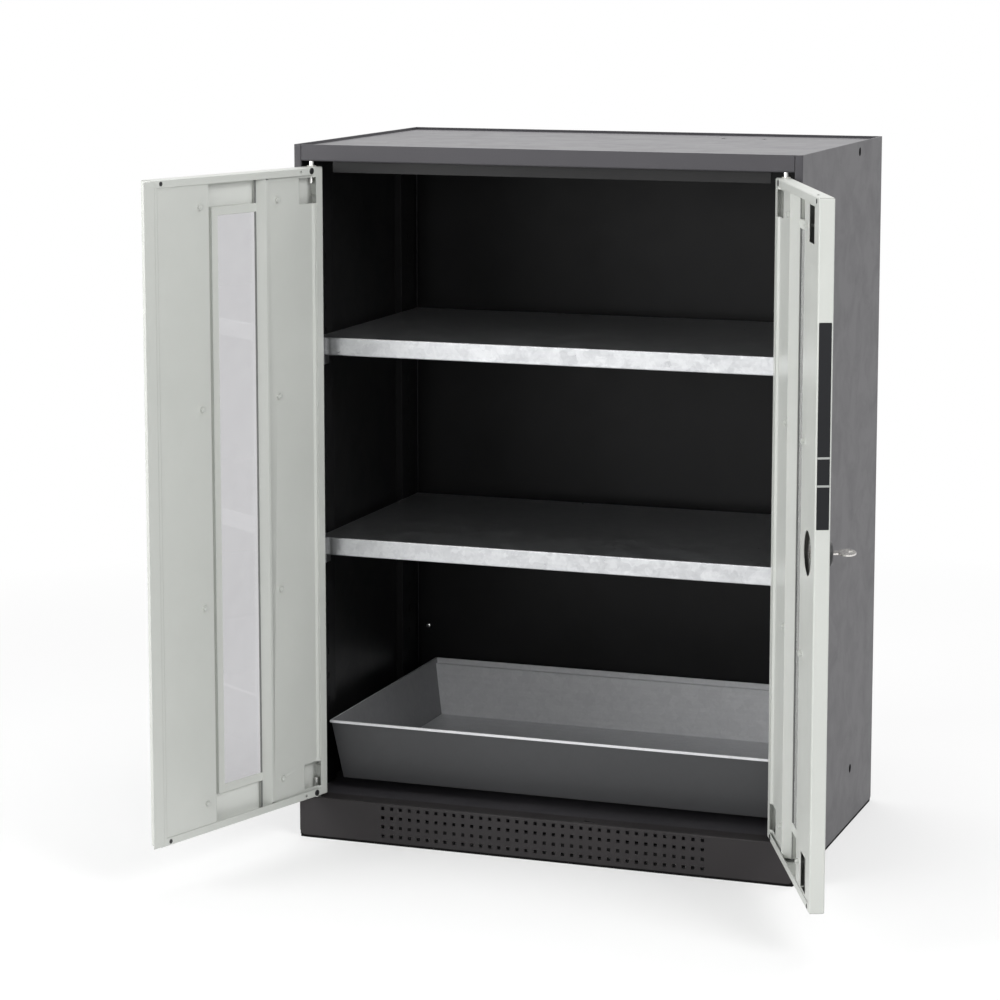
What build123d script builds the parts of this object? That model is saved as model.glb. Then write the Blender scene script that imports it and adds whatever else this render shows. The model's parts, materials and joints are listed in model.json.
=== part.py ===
from build123d import *
import math
import os

os.makedirs("parts", exist_ok=True)

# Chemical storage cabinet, half height, with two glazed doors that stand open.
# X runs to the right, Y to the back and Z up. The origin is the middle of the footprint on the floor.

# Whole cabinet
width = 810.0
depth = 520.0
height = 1105.0
sheet = 1.2
bend = 1.8
overrun = 5.0
running_gap = 0.05
# Small round pieces and holes have flat sides, which keeps the model light
hexagon_count = 6
small_hole_side_count = 8
pin_side_count = 12
round_side_count = 24
port_side_count = 36

# Base frame and skins
skin_lift = 4.0
frame_height = 14.0
frame_wall = 2.0
frame_leg = 25.0
foot_inset = 0.3

# Side panels
post_width = 12.5
post_return = 17.0
back_flange = 14.0
hem = 3.0
hem_height = 8.0
corner_round = 9.0
joining_hole_radius = 7.0
joining_hole_back = 156.0
joining_hole_low = 93.0
joining_hole_below_rim = 16.0

# Top panel and its round knock-out
top_drop = 4.0
top_flange = 6.0
port_radius = 37.5
port_x = 195.0
port_from_back = 78.0
port_gap = 0.3
port_notch = 13.0

# Top front rail with the door stop
rail_height = 25.5
rail_return = 26.0
stop_drop = 18.5
stop_inset = 42.0

# Plinth, its perforation and the floor pan
plinth_top = 67.0
plinth_shelf = 32.0
hole_size = 5.4
hole_pitch = 15.0
hole_columns = 36
hole_rows = 4
hole_first_row = 14.0
stiffener_height = 22.0
stiffener_return = 14.0
stiffener_left_gap = 165.0
stiffener_right_gap = 105.0
floor_flange = 20.0

# Doors
door_depth = 22.0
door_bend = 2.5
end_bend = 1.5
door_low_gap = 5.0
door_high_gap = 8.5
hinge_gap = 4.0
middle_gap = 4.0
pivot_edge = 10.0
pivot_depth = 7.5
left_open_angle = 107.0
right_open_angle = 113.5
hinge_lip = 16.0
end_lip = 12.0
free_lip = 12.0
lip_hole_radius = 4.0
lip_hole_from_edge = 27.0
small_hole_radius = 2.0
small_hole_from_edge = 52.0
corner_hole_radius = 3.0
corner_hole_from_free = 20.0

# Window in each door
window_width = 86.0
window_end = 60.0
window_centre = 181.0
pane_thickness = 4.0
pane_side_overlap = 16.0
pane_end_overlap = 10.0
seal_under = 1.0
seal_over = 1.5
seal_edge = 1.5

# Inner panel on the hinge side, with its rib
panel_start = 5.0
panel_lip_overlap = 19.0
panel_step = 3.2
panel_step_run = 2.5
panel_end_gap = 3.0
rib_start = 126.0
rib_rise = 3.6
rib_rise_run = 3.0
rib_end_gap = 2.0
rib_edge = 162.0
rib_lip = 3.0
access_width = 38.0
access_height = 40.0
access_from_edge = 33.0
access_from_end = 36.0

# Cover channel on the closing side
cover_edge = 262.0
cover_tuck = 6.0
cover_end_gap = 2.0
rod_window_width = 44.0
rod_window_height = 52.0
rod_window_from_end = 41.0
lock_window_radius = 32.0

# Studs that hold the inner panel and the cover
stud_radius = 2.5
stud_hole_gap = 0.3
stud_hinge_column = 104.5
stud_free_column = 283.0
stud_end = 45.75
stud_rows = 4
nut_radius = 4.6
nut_height = 4.0
stud_tip = 1.0

# Hinge bracket, bush and pin
bracket_thick = 3.0
bracket_length = 46.0
bracket_drop = 44.0
bush_radius = 6.0
bush_flange_radius = 7.0
bush_flange = 1.5
pin_radius = 4.0
pin_reach = 26.0
pin_head = 3.0
pin_collar_radius = 7.0

# Overlap strip on the passive leaf
strip_width = 22.0
strip_overhang = 17.0
strip_end_gap = 2.0

# Lock
lock_from_free = 64.5
rosette_radius = 19.0
rosette_height = 13.0
rosette_edge = 11.0
rosette_taper_angle = 45.0
barrel_radius = 10.0
barrel_front = 9.0
barrel_length = 17.5
barrel_nut_radius = 14.0
plug_radius = 7.0
plug_front = 11.0
plug_length = 19.8
tail_size = 8.0
cam_length = 31.0
cam_width = 14.0
cam_thick = 3.4
cam_pin_radius = 2.5
cam_pin_circle = 12.7
cam_swing_angle = 90.0
cam_pin_length = 4.1
retainer_neck_radius = 3.0
retainer_radius = 8.0
retainer_height = 3.0
keyway_width = 8.4
keyway_height = 2.4
key_fit = 0.1
key_blade = 13.0
key_neck = 11.0
key_neck_width = 11.0
key_bow_radius = 13.0
key_bow_hole = 4.0
key_bow_hole_offset = 6.0
key_tilt_angle = 10.0

# Lock rods and their guides
rod_width = 14.0
rod_thick = 3.0
rod_gap = 0.6
rod_retract = 1.5
rod_foot_width = 15.0
rod_foot_height = 16.0
rod_slot_side = 0.5
rod_slot_lift = 0.7
guide_width = 22.0
guide_length = 18.0
guide_cap = 2.2
guide_from_end_share = 0.22
strike_gap = 1.5

# Shelf uprights and clips
upright_width = 60.0
upright_proud = 12.0
upright_front = 90.0
upright_back = 447.0
upright_top_gap = 25.0
slot_width = 4.0
slot_height = 12.0
slot_first = 204.0
slot_pitch = 40.0
slot_end = 85.0
clip_thick = 1.5
clip_width = 18.0
clip_tongue = 18.0
clip_drop = 20.0
clip_hook_drop = 6.0
clip_fit = 0.4

# Shelves
shelf_sheet = 1.0
shelf_side_gap = 4.3
shelf_back_gap = 40.0
shelf_front = 45.0
shelf_height = 29.0
shelf_return = 12.0
shelf_bend = 2.0
lower_shelf_slot_share = 0.3
upper_shelf_slot_share = 0.7

# Spill tray and the rails under it
tray_side_gap = 39.0
tray_back_gap = 13.0
tray_front = 33.0
tray_rim = 186.0
tray_base = 87.0
tray_side_taper = 11.0
tray_front_taper = 24.0
tray_ledge = 9.0
tray_band = 9.0
tray_hem = 1.6
tray_hem_height = 4.0
support_x = 210.0
support_width = 40.0
support_foot = 15.0
support_length = 300.0

# Places that follow from the sizes above
half = sheet / 2
back_skin = 2 * sheet
front = -depth / 2
back = depth / 2
side = width / 2
inner_side = side - sheet
rim_inner = side - hem
rail_bottom = height - rail_height
door_bottom = plinth_top + door_low_gap
door_top = rail_bottom - door_high_gap
door_height = door_top - door_bottom
door_middle = (door_top + door_bottom) / 2
window_height = door_height - 2 * window_end
stud_pitch = (door_height - 2 * stud_end) / (stud_rows - 1)
pivot_x = side - post_width - hinge_gap - pivot_edge
pivot_y = front + pivot_depth
door_width = pivot_x + pivot_edge - middle_gap / 2
door_back = door_depth - sheet
lock_u = door_width - lock_from_free
cam_throw = cam_pin_circle * math.sin(math.radians(cam_swing_angle / 2))
cam_reach = cam_pin_circle * math.cos(math.radians(cam_swing_angle / 2))
rod_offset = (cam_pin_circle + cam_reach) / 2
cam_back = plug_length - plug_front
cam_face = cam_back + cam_thick
rod_front = cam_face + rod_gap
rod_middle = rod_front + rod_thick / 2
retainer_face = rod_front + rod_thick + rod_gap
panel_v = door_back - half - panel_step
rib_v = panel_v + rib_rise
cover_v = door_back - half
shelf_width = 2 * (inner_side - upright_proud - shelf_side_gap)
shelf_depth = depth - shelf_front - shelf_back_gap
tray_width = width - 2 * tray_side_gap
tray_depth = depth - tray_front - tray_back_gap
upright_top = height - upright_top_gap
slot_count = int((upright_top - slot_end - slot_first) // slot_pitch) + 1
lower_shelf_slot = round(lower_shelf_slot_share * slot_count)
upper_shelf_slot = round(upper_shelf_slot_share * slot_count)


def save(piece, label):
    piece.part.label = label
    export_step(piece.part, f"parts/{label}.step")


def folded(plane, points, radius=bend):
    # One sheet bent along a line, as a profile on the given plane
    with BuildSketch(plane) as profile:
        with BuildLine():
            FilletPolyline(*points, radius=radius)
        trace(line_width=sheet)
    return profile.sketch


def creased(plane, points):
    # The same with sharp bends, for pieces that lie out of sight or bend only a little
    with BuildSketch(plane) as profile:
        with BuildLine():
            Polyline(*points)
        trace(line_width=sheet)
    return profile.sketch


class Leaf:
    # A door leaf as it stands. Places are u from the hinge edge, v from the outer face and z.
    def __init__(self, name, hand, angle):
        self.name = name
        self.hand = hand
        turn = math.radians(angle)
        self.plan = Plane(
            origin=(-hand * pivot_x, pivot_y, 0),
            x_dir=(math.cos(turn), -hand * math.sin(turn), 0),
            z_dir=(0, 0, 1),
        )

    def at(self, u, v):
        return (self.hand * (u - pivot_edge), v - pivot_depth)

    def level(self, z):
        return self.plan.offset(z)

    def face(self, v):
        # Plane parallel to the door, seen from outside: local x along the door, local y up
        centre = self.plan.from_local_coords((0, v - pivot_depth, 0))
        return Plane(origin=centre, x_dir=self.plan.x_dir, z_dir=-self.plan.y_dir)

    def on_face(self, u, z):
        return (self.hand * (u - pivot_edge), z)


# Base frame: a ring of angle steel, with a foot edge that carries the skins
def base_frame():
    ring_width = width - 2 * sheet
    ring_depth = depth - sheet - back_skin
    ring_y = (sheet - back_skin) / 2
    with BuildPart() as piece:
        with BuildSketch(Plane.XY):
            RectangleRounded(width - 2 * foot_inset, depth - 2 * foot_inset, corner_round)
        extrude(amount=skin_lift)
        with BuildSketch(Plane.XY):
            with Locations((0, ring_y)):
                Rectangle(ring_width, ring_depth)
        extrude(amount=frame_height)
        with BuildSketch(Plane.XY):
            with Locations((0, ring_y)):
                Rectangle(ring_width - 2 * frame_leg, ring_depth - 2 * frame_leg)
        extrude(amount=frame_height, mode=Mode.SUBTRACT)
        with BuildSketch(Plane.XY.offset(frame_wall)):
            with Locations((0, ring_y)):
                Rectangle(ring_width - 2 * frame_wall, ring_depth - 2 * frame_wall)
        extrude(amount=frame_height, mode=Mode.SUBTRACT)
    save(piece, "base_frame")


# Side panel: skin, front post and back flange folded from one sheet, hemmed at the top
def side_panel(name, hand):
    lip_x = side - post_width + half
    outline = [
        (hand * lip_x, front + post_return),
        (hand * lip_x, front + half),
        (hand * (side - half), front + half),
        (hand * (side - half), back - half),
        (hand * (side - back_flange), back - half),
    ]
    with BuildPart() as piece:
        extrude(folded(Plane.XY.offset(skin_lift), outline), amount=height - skin_lift)
        with BuildSketch(Plane.XY.offset(height - hem_height)):
            with Locations((hand * (side - hem / 2), 0)):
                Rectangle(hem, depth - 2 * bend - 2 * sheet)
        extrude(amount=hem_height)
        # The post stands on the plinth, so below it only the skin remains
        with BuildSketch(Plane.XY.offset(plinth_top)):
            with Locations((hand * side, front)):
                Rectangle(2 * post_width + overrun, 2 * post_return + overrun)
            with Locations((hand * side, front + sheet + post_return + overrun)):
                Rectangle(2 * sheet, 2 * post_return + 2 * overrun, mode=Mode.SUBTRACT)
        extrude(amount=-plinth_top, mode=Mode.SUBTRACT)
        # The post's return stops under the top panel
        with BuildSketch(Plane.XY.offset(height - top_drop - top_flange)):
            with Locations((hand * (rim_inner - post_width), front + hem + post_return)):
                Rectangle(2 * post_width, 2 * post_return)
        extrude(amount=height, mode=Mode.SUBTRACT)
        # Rounded lower back corner
        with BuildSketch(Plane.YZ):
            with Locations((back - corner_round / 2, skin_lift + corner_round / 2)):
                Rectangle(corner_round, corner_round)
            with Locations((back - corner_round, skin_lift + corner_round)):
                Circle(corner_round, mode=Mode.SUBTRACT)
        extrude(amount=hand * width, mode=Mode.SUBTRACT)
        # Holes for bolting cabinets side by side
        with BuildSketch(Plane.YZ.offset(hand * side)):
            for hole_z in (joining_hole_low, height - joining_hole_below_rim):
                with Locations((back - joining_hole_back, hole_z)):
                    Circle(joining_hole_radius)
        extrude(amount=overrun, both=True, mode=Mode.SUBTRACT)
    save(piece, name)


def back_panel():
    inner_face = back - back_skin
    with BuildPart() as piece:
        with BuildSketch(Plane.XZ.offset(-inner_face)):
            with Locations((0, (height + skin_lift) / 2)):
                Rectangle(2 * inner_side - 2 * bend, height - skin_lift)
        extrude(amount=-sheet)
        with BuildSketch(Plane.XZ.offset(-inner_face)):
            with Locations((0, height - hem_height / 2)):
                Rectangle(2 * rim_inner, hem_height)
        extrude(amount=hem - sheet)
    save(piece, "back_panel")


# Top panel: a shallow pan that lies below the hemmed rim, with the round knock-out
def top_panel():
    low = height - top_drop - top_flange
    front_y = front + hem
    back_y = back - sheet - hem
    middle_y = (front_y + back_y) / 2
    with BuildPart() as piece:
        with BuildSketch(Plane.XY.offset(low)):
            with Locations((0, middle_y)):
                Rectangle(2 * rim_inner, back_y - front_y)
        extrude(amount=top_flange)
        with BuildSketch(Plane.XY.offset(low)):
            with Locations((0, middle_y)):
                Rectangle(2 * rim_inner - 2 * sheet, back_y - front_y - 2 * sheet)
        extrude(amount=top_flange - sheet, mode=Mode.SUBTRACT)
        with BuildSketch(Plane.XY.offset(low)):
            with Locations((port_x, back - port_from_back)):
                RegularPolygon(port_radius, port_side_count)
        extrude(amount=top_flange + overrun, mode=Mode.SUBTRACT)
    save(piece, "top_panel")
    with BuildPart() as cover:
        with BuildSketch(Plane.XY.offset(height - top_drop - sheet)):
            with Locations((port_x, back - port_from_back)):
                RegularPolygon(port_radius - port_gap, port_side_count)
            for turn in (-1, 1):
                with Locations((port_x + turn * port_radius, back - port_from_back)):
                    Rectangle(port_notch, port_notch, mode=Mode.SUBTRACT)
        extrude(amount=sheet)
    save(cover, "exhaust_knockout")


def strike_slot(rod_u, gap):
    # Hole for a lock rod, seen from above with the right door closed
    return (pivot_x + pivot_edge - rod_u, front + rod_middle), (rod_width + 2 * gap, rod_thick + 2 * gap)


# Top front rail: front face, bottom flange that holds the upper hinge pins, and the door stop
def top_rail():
    rail_length = 2 * (side - post_width)
    outline = [
        (front + half, height),
        (front + half, rail_bottom + half),
        (front + rail_return, rail_bottom + half),
        (front + rail_return, rail_bottom - stop_drop),
    ]
    with BuildPart() as piece:
        extrude(folded(Plane.YZ, outline), amount=rail_length / 2, both=True)
        with BuildSketch(Plane.YZ):
            with Locations((front + hem / 2, height - hem_height / 2)):
                Rectangle(hem, hem_height)
        extrude(amount=rail_length / 2, both=True)
        # The stop ends short of the hinges
        with BuildSketch(Plane.XZ.offset(-front - rail_return)):
            for turn in (-1, 1):
                with Locations((turn * rail_length / 2, rail_bottom - stop_drop / 2)):
                    Rectangle(2 * stop_inset, stop_drop)
        extrude(amount=overrun, both=True, mode=Mode.SUBTRACT)
        slot_at, slot_size = strike_slot(lock_u + rod_offset, strike_gap)
        with BuildSketch(Plane.XY.offset(rail_bottom)):
            for turn in (-1, 1):
                with Locations((turn * pivot_x, pivot_y)):
                    RegularPolygon(pin_radius, pin_side_count)
            with Locations(slot_at):
                Rectangle(*slot_size)
        extrude(amount=overrun, both=True, mode=Mode.SUBTRACT)
    save(piece, "top_rail")


# Plinth: perforated front with rounded lower corners and a flange that carries the doors
def plinth_panel():
    outline = [
        (front + half, skin_lift),
        (front + half, plinth_top - half),
        (front + plinth_shelf, plinth_top - half),
    ]
    with BuildPart() as piece:
        extrude(folded(Plane.YZ, outline), amount=side, both=True)
        with BuildSketch(Plane.XY.offset(plinth_top - overrun)):
            for turn in (-1, 1):
                with Locations((turn * side, front + sheet + plinth_shelf / 2)):
                    Rectangle(2 * sheet, plinth_shelf)
        extrude(amount=2 * overrun, mode=Mode.SUBTRACT)
        with BuildSketch(Plane.XZ.offset(-front)):
            for turn in (-1, 1):
                with Locations((turn * (side - corner_round / 2), skin_lift + corner_round / 2)):
                    Rectangle(corner_round, corner_round)
                with Locations((turn * (side - corner_round), skin_lift + corner_round)):
                    Circle(corner_round, mode=Mode.SUBTRACT)
        extrude(amount=-overrun, mode=Mode.SUBTRACT)
        with BuildSketch(Plane.XZ.offset(-front)):
            with Locations((0, hole_first_row + hole_pitch * (hole_rows - 1) / 2)):
                with GridLocations(hole_pitch, hole_pitch, hole_columns, hole_rows):
                    Rectangle(hole_size, hole_size)
        extrude(amount=-overrun, mode=Mode.SUBTRACT)
        slot_at, slot_size = strike_slot(lock_u - rod_offset, strike_gap)
        with BuildSketch(Plane.XY.offset(plinth_top)):
            for turn in (-1, 1):
                with Locations((turn * pivot_x, pivot_y)):
                    RegularPolygon(pin_radius, pin_side_count)
            with Locations(slot_at):
                Rectangle(*slot_size)
        extrude(amount=overrun, both=True, mode=Mode.SUBTRACT)
    save(piece, "plinth_panel")


# Channel behind the perforation, against the plinth's inner face
def plinth_stiffener():
    low = hole_first_row + hole_pitch / 2
    face = front + sheet + half
    outline = [
        (face + stiffener_return, low + half),
        (face, low + half),
        (face, low + stiffener_height - half),
        (face + stiffener_return, low + stiffener_height - half),
    ]
    with BuildPart() as piece:
        section = creased(Plane.YZ.offset(stiffener_left_gap - side), outline)
        extrude(section, amount=width - stiffener_left_gap - stiffener_right_gap)
    save(piece, "plinth_stiffener")


def floor_pan():
    front_y = front + plinth_shelf
    back_y = back - back_skin
    middle_y = (front_y + back_y) / 2
    with BuildPart() as piece:
        with BuildSketch(Plane.XY.offset(plinth_top)):
            with Locations((0, middle_y)):
                Rectangle(2 * inner_side, back_y - front_y)
        extrude(amount=-floor_flange)
        with BuildSketch(Plane.XY.offset(plinth_top - sheet)):
            with Locations((0, middle_y)):
                Rectangle(2 * inner_side - 2 * sheet, back_y - front_y - 2 * sheet)
        extrude(amount=-floor_flange, mode=Mode.SUBTRACT)
    save(piece, "floor_pan")


# Slotted uprights on the side walls
def shelf_upright(name, hand, from_front):
    middle_y = front + from_front
    face_x = inner_side - upright_proud
    leg = upright_width / 2 - half
    outline = [
        (hand * inner_side, middle_y - leg),
        (hand * (face_x + half), middle_y - leg),
        (hand * (face_x + half), middle_y + leg),
        (hand * inner_side, middle_y + leg),
    ]
    with BuildPart() as piece:
        extrude(creased(Plane.XY.offset(plinth_top), outline), amount=upright_top - plinth_top)
        with BuildSketch(Plane.YZ.offset(hand * face_x)):
            with Locations((middle_y, slot_first + slot_pitch * (slot_count - 1) / 2)):
                with GridLocations(slot_pitch, slot_pitch, 1, slot_count):
                    Rectangle(slot_width, slot_height)
        extrude(amount=overrun, both=True, mode=Mode.SUBTRACT)
    save(piece, name)


def shelf_bottom(slot):
    return slot_first + slot_pitch * slot + slot_height / 2 + clip_thick


# Four clips: a plate against the upright, a tongue under the shelf and a hook through the slot
def shelf_clips(name, slot):
    top = shelf_bottom(slot)
    slot_low = slot_first + slot_pitch * slot - slot_height / 2
    face_x = inner_side - upright_proud
    hook_width = slot_width - 2 * clip_fit
    with BuildPart() as piece:
        for hand in (-1, 1):
            for from_front in (upright_front, upright_back):
                with BuildSketch(Plane.XZ.offset(-front - from_front + clip_width / 2)):
                    with BuildLine():
                        Polyline(
                            (hand * (face_x - clip_thick), top - clip_drop),
                            (hand * face_x, top - clip_drop),
                            (hand * face_x, top),
                            (hand * (face_x - clip_tongue), top),
                            (hand * (face_x - clip_tongue), top - clip_thick),
                            (hand * (face_x - clip_thick), top - clip_thick),
                            close=True,
                        )
                    make_face()
                extrude(amount=-clip_width)
                with BuildSketch(Plane.XZ.offset(-front - from_front + hook_width / 2)):
                    with BuildLine():
                        Polyline(
                            (hand * face_x, slot_low + clip_fit),
                            (hand * (face_x + sheet + clip_fit), slot_low + clip_fit),
                            (hand * (face_x + sheet + clip_fit), slot_low - clip_hook_drop),
                            (hand * (face_x + sheet + clip_fit + clip_thick), slot_low - clip_hook_drop),
                            (hand * (face_x + sheet + clip_fit + clip_thick), slot_low + clip_hook_drop),
                            (hand * face_x, slot_low + clip_hook_drop),
                            close=True,
                        )
                    make_face()
                extrude(amount=-hook_width)
    save(piece, name)


# Shelf: pan turned down on all sides, with returns along front and back
def shelf(name, slot):
    low = shelf_bottom(slot)
    middle_y = front + shelf_front + shelf_depth / 2
    with BuildPart() as piece:
        with BuildSketch(Plane.XY.offset(low)):
            with Locations((0, middle_y)):
                Rectangle(shelf_width, shelf_depth)
        extrude(amount=shelf_height)
        fillet(piece.edges().filter_by(Axis.X), shelf_bend)
        with BuildSketch(Plane.XY.offset(low + shelf_sheet)):
            with Locations((0, middle_y)):
                Rectangle(shelf_width - 2 * shelf_sheet, shelf_depth - 2 * shelf_sheet)
        extrude(amount=shelf_height - 2 * shelf_sheet, mode=Mode.SUBTRACT)
        with BuildSketch(Plane.XY.offset(low)):
            with Locations((0, middle_y)):
                Rectangle(shelf_width - 2 * shelf_sheet, shelf_depth - 2 * shelf_return)
        extrude(amount=2 * shelf_sheet, mode=Mode.SUBTRACT)
    save(piece, name)


# Spill tray: tapered front and ends, an upright back with a ledge, and a hemmed rim
def spill_tray():
    rim_width = tray_width - 2 * tray_hem
    base_width = rim_width - 2 * tray_side_taper
    tray_start = front + tray_front
    tray_end = tray_start + tray_depth
    wall_front = tray_start + tray_hem
    wall_back = tray_end - tray_ledge
    base_front = wall_front + tray_front_taper
    base_y = (base_front + wall_back) / 2
    wall_y = (wall_front + wall_back) / 2
    ledge_z = tray_rim - tray_band
    with BuildPart() as piece:
        with BuildSketch(Plane.XY.offset(tray_base)):
            with Locations((0, base_y)):
                Rectangle(base_width, wall_back - base_front)
        with BuildSketch(Plane.XY.offset(tray_rim)):
            with Locations((0, wall_y)):
                Rectangle(rim_width, wall_back - wall_front)
        loft()
        with BuildSketch(Plane.XY.offset(ledge_z - sheet)):
            with Locations((0, tray_end - (tray_ledge + sheet) / 2)):
                Rectangle(rim_width, tray_ledge + sheet)
        extrude(amount=tray_band + sheet)
        with BuildSketch(Plane.XY.offset(tray_base + sheet)):
            with Locations((0, base_y)):
                Rectangle(base_width - 2 * sheet, wall_back - base_front - 2 * sheet)
        with BuildSketch(Plane.XY.offset(tray_rim)):
            with Locations((0, wall_y)):
                Rectangle(rim_width - 2 * sheet, wall_back - wall_front - 2 * sheet)
        loft(mode=Mode.SUBTRACT)
        with BuildSketch(Plane.XY.offset(ledge_z)):
            with Locations((0, tray_end - sheet - tray_ledge / 2)):
                Rectangle(rim_width - 2 * sheet, tray_ledge)
        extrude(amount=tray_band, mode=Mode.SUBTRACT)
        with BuildSketch(Plane.XY.offset(tray_rim)):
            with Locations((0, (tray_start + tray_end) / 2)):
                Rectangle(tray_width, tray_depth)
            with Locations((0, (wall_front + tray_end) / 2)):
                Rectangle(rim_width - 2 * sheet, tray_end - wall_front - 2 * sheet, mode=Mode.SUBTRACT)
        extrude(amount=-tray_hem_height)
    save(piece, "spill_tray")
    foot = half + support_foot
    with BuildPart() as rails:
        for turn in (-1, 1):
            outline = [
                (turn * support_x - support_width / 2 - foot, plinth_top + half),
                (turn * support_x - support_width / 2, plinth_top + half),
                (turn * support_x - support_width / 2, tray_base - half),
                (turn * support_x + support_width / 2, tray_base - half),
                (turn * support_x + support_width / 2, plinth_top + half),
                (turn * support_x + support_width / 2 + foot, plinth_top + half),
            ]
            extrude(creased(Plane.XZ.offset(-base_y), outline), amount=support_length / 2, both=True)
    save(rails, "tray_support_rails")


# Hinge pins, fixed in the rail and the plinth. The lower ones have a collar that carries the door.
def hinge_pins():
    for name, hand in (("left_hinge_pins", -1), ("right_hinge_pins", 1)):
        with BuildPart() as piece:
            with BuildSketch(Plane.XY.offset(door_top - pin_reach)):
                with Locations((hand * pivot_x, pivot_y)):
                    RegularPolygon(pin_radius, pin_side_count)
            extrude(amount=rail_bottom + sheet + pin_head - door_top + pin_reach)
            with BuildSketch(Plane.XY.offset(plinth_top - sheet - pin_head)):
                with Locations((hand * pivot_x, pivot_y)):
                    RegularPolygon(pin_radius, pin_side_count)
            extrude(amount=door_bottom - plinth_top + sheet + pin_head + pin_reach)
            with BuildSketch(Plane.XY.offset(plinth_top)):
                with Locations((hand * pivot_x, pivot_y)):
                    RegularPolygon(pin_collar_radius, hexagon_count)
            extrude(amount=door_low_gap - bush_flange)
        save(piece, name)


# Door skin: folded pan with lips on its inner side and the window
def door_skin(leaf, rods):
    middle = leaf.at(door_width / 2, door_depth / 2)
    with BuildPart() as piece:
        with BuildSketch(leaf.level(door_bottom)):
            with Locations(middle):
                RectangleRounded(door_width, door_depth, door_bend)
        extrude(amount=door_height)
        ends = piece.edges().group_by(Axis.Z)
        chamfer(ends[0] + ends[-1], end_bend)
        with BuildSketch(leaf.level(door_bottom + sheet)):
            with Locations(middle):
                Rectangle(door_width - 2 * sheet, door_depth - 2 * sheet)
        extrude(amount=door_height - 2 * sheet, mode=Mode.SUBTRACT)
        with BuildSketch(leaf.face(door_depth)):
            with Locations(leaf.on_face((door_width + hinge_lip - free_lip) / 2, door_middle)):
                Rectangle(door_width - hinge_lip - free_lip, door_height - 2 * end_lip)
            for end in (-1, 1):
                lip_z = door_middle + end * (door_height - end_lip) / 2
                with Locations(leaf.on_face(lip_hole_from_edge, lip_z)):
                    RegularPolygon(lip_hole_radius, small_hole_side_count)
                with Locations(leaf.on_face(small_hole_from_edge, lip_z)):
                    RegularPolygon(small_hole_radius, small_hole_side_count)
                with Locations(leaf.on_face(door_width - corner_hole_from_free, lip_z)):
                    RegularPolygon(corner_hole_radius, small_hole_side_count)
        extrude(amount=overrun, both=True, mode=Mode.SUBTRACT)
        with BuildSketch(leaf.face(0)):
            with Locations(leaf.on_face(window_centre, door_middle)):
                Rectangle(window_width, window_height)
        extrude(amount=overrun, both=True, mode=Mode.SUBTRACT)
        with BuildSketch(leaf.level(0)):
            RegularPolygon(bush_radius, hexagon_count)
        extrude(amount=height, mode=Mode.SUBTRACT)
        if rods:
            with BuildSketch(leaf.face(0)):
                with Locations(leaf.on_face(lock_u, door_middle)):
                    RegularPolygon(barrel_radius, round_side_count)
            extrude(amount=overrun, both=True, mode=Mode.SUBTRACT)
            for rod_side in (-1, 1):
                with BuildSketch(leaf.level(door_middle)):
                    with Locations(leaf.at(lock_u + rod_side * rod_offset, rod_middle)):
                        Rectangle(rod_width + 2 * rod_gap, rod_thick + 2 * rod_gap)
                extrude(amount=rod_side * height, mode=Mode.SUBTRACT)
    save(piece, f"{leaf.name}_door_skin")


# Inner panel: tucked under the hinge lip, stepped, then raised to a lipped rib beside the window
def inner_panel(leaf):
    outline = [
        leaf.at(panel_start, cover_v),
        leaf.at(panel_lip_overlap, cover_v),
        leaf.at(panel_lip_overlap + panel_step_run, panel_v),
        leaf.at(rib_start, panel_v),
        leaf.at(rib_start + rib_rise_run, rib_v),
        leaf.at(rib_edge, rib_v),
        leaf.at(rib_edge, rib_v - rib_lip),
    ]
    low = door_bottom + sheet + panel_end_gap
    tall = door_height - 2 * sheet - 2 * panel_end_gap
    with BuildPart() as piece:
        extrude(creased(leaf.level(low), outline), amount=tall)
        with BuildSketch(leaf.face(0)):
            for end in (-1, 1):
                rib_z = door_middle + end * door_height / 2
                with Locations(leaf.on_face((rib_start + rib_edge + overrun) / 2, rib_z)):
                    Rectangle(rib_edge + overrun - rib_start, 2 * end_lip + 2 * rib_end_gap)
                access_z = door_middle + end * (door_height / 2 - access_from_end)
                with Locations(leaf.on_face(access_from_edge, access_z)):
                    Rectangle(access_width, access_height)
            with Locations(leaf.on_face(stud_hinge_column, door_middle)):
                with GridLocations(stud_pitch, stud_pitch, 1, stud_rows):
                    RegularPolygon(stud_radius + stud_hole_gap, hexagon_count)
        extrude(amount=-2 * door_depth, mode=Mode.SUBTRACT)
    save(piece, f"{leaf.name}_door_inner_panel")


# Cover channel beside the closing edge, with hand holes where the lock works
def door_cover(leaf, holes):
    outline = [
        leaf.at(cover_edge, sheet),
        leaf.at(cover_edge, cover_v),
        leaf.at(door_width - cover_tuck, cover_v),
    ]
    low = door_bottom + sheet + cover_end_gap
    tall = door_height - 2 * sheet - 2 * cover_end_gap
    with BuildPart() as piece:
        extrude(folded(leaf.level(low), outline, sheet), amount=tall)
        with BuildSketch(leaf.face(door_depth)):
            with Locations(leaf.on_face(stud_free_column, door_middle)):
                with GridLocations(stud_pitch, stud_pitch, 1, stud_rows):
                    RegularPolygon(stud_radius + stud_hole_gap, hexagon_count)
            if holes:
                with Locations(leaf.on_face(lock_u, door_middle)):
                    RegularPolygon(lock_window_radius, round_side_count)
                for end in (-1, 1):
                    window_z = door_middle + end * (door_height / 2 - rod_window_from_end)
                    with Locations(leaf.on_face(lock_u, window_z)):
                        Rectangle(rod_window_width, rod_window_height)
        extrude(amount=overrun, both=True, mode=Mode.SUBTRACT)
    save(piece, f"{leaf.name}_door_cover")


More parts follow.
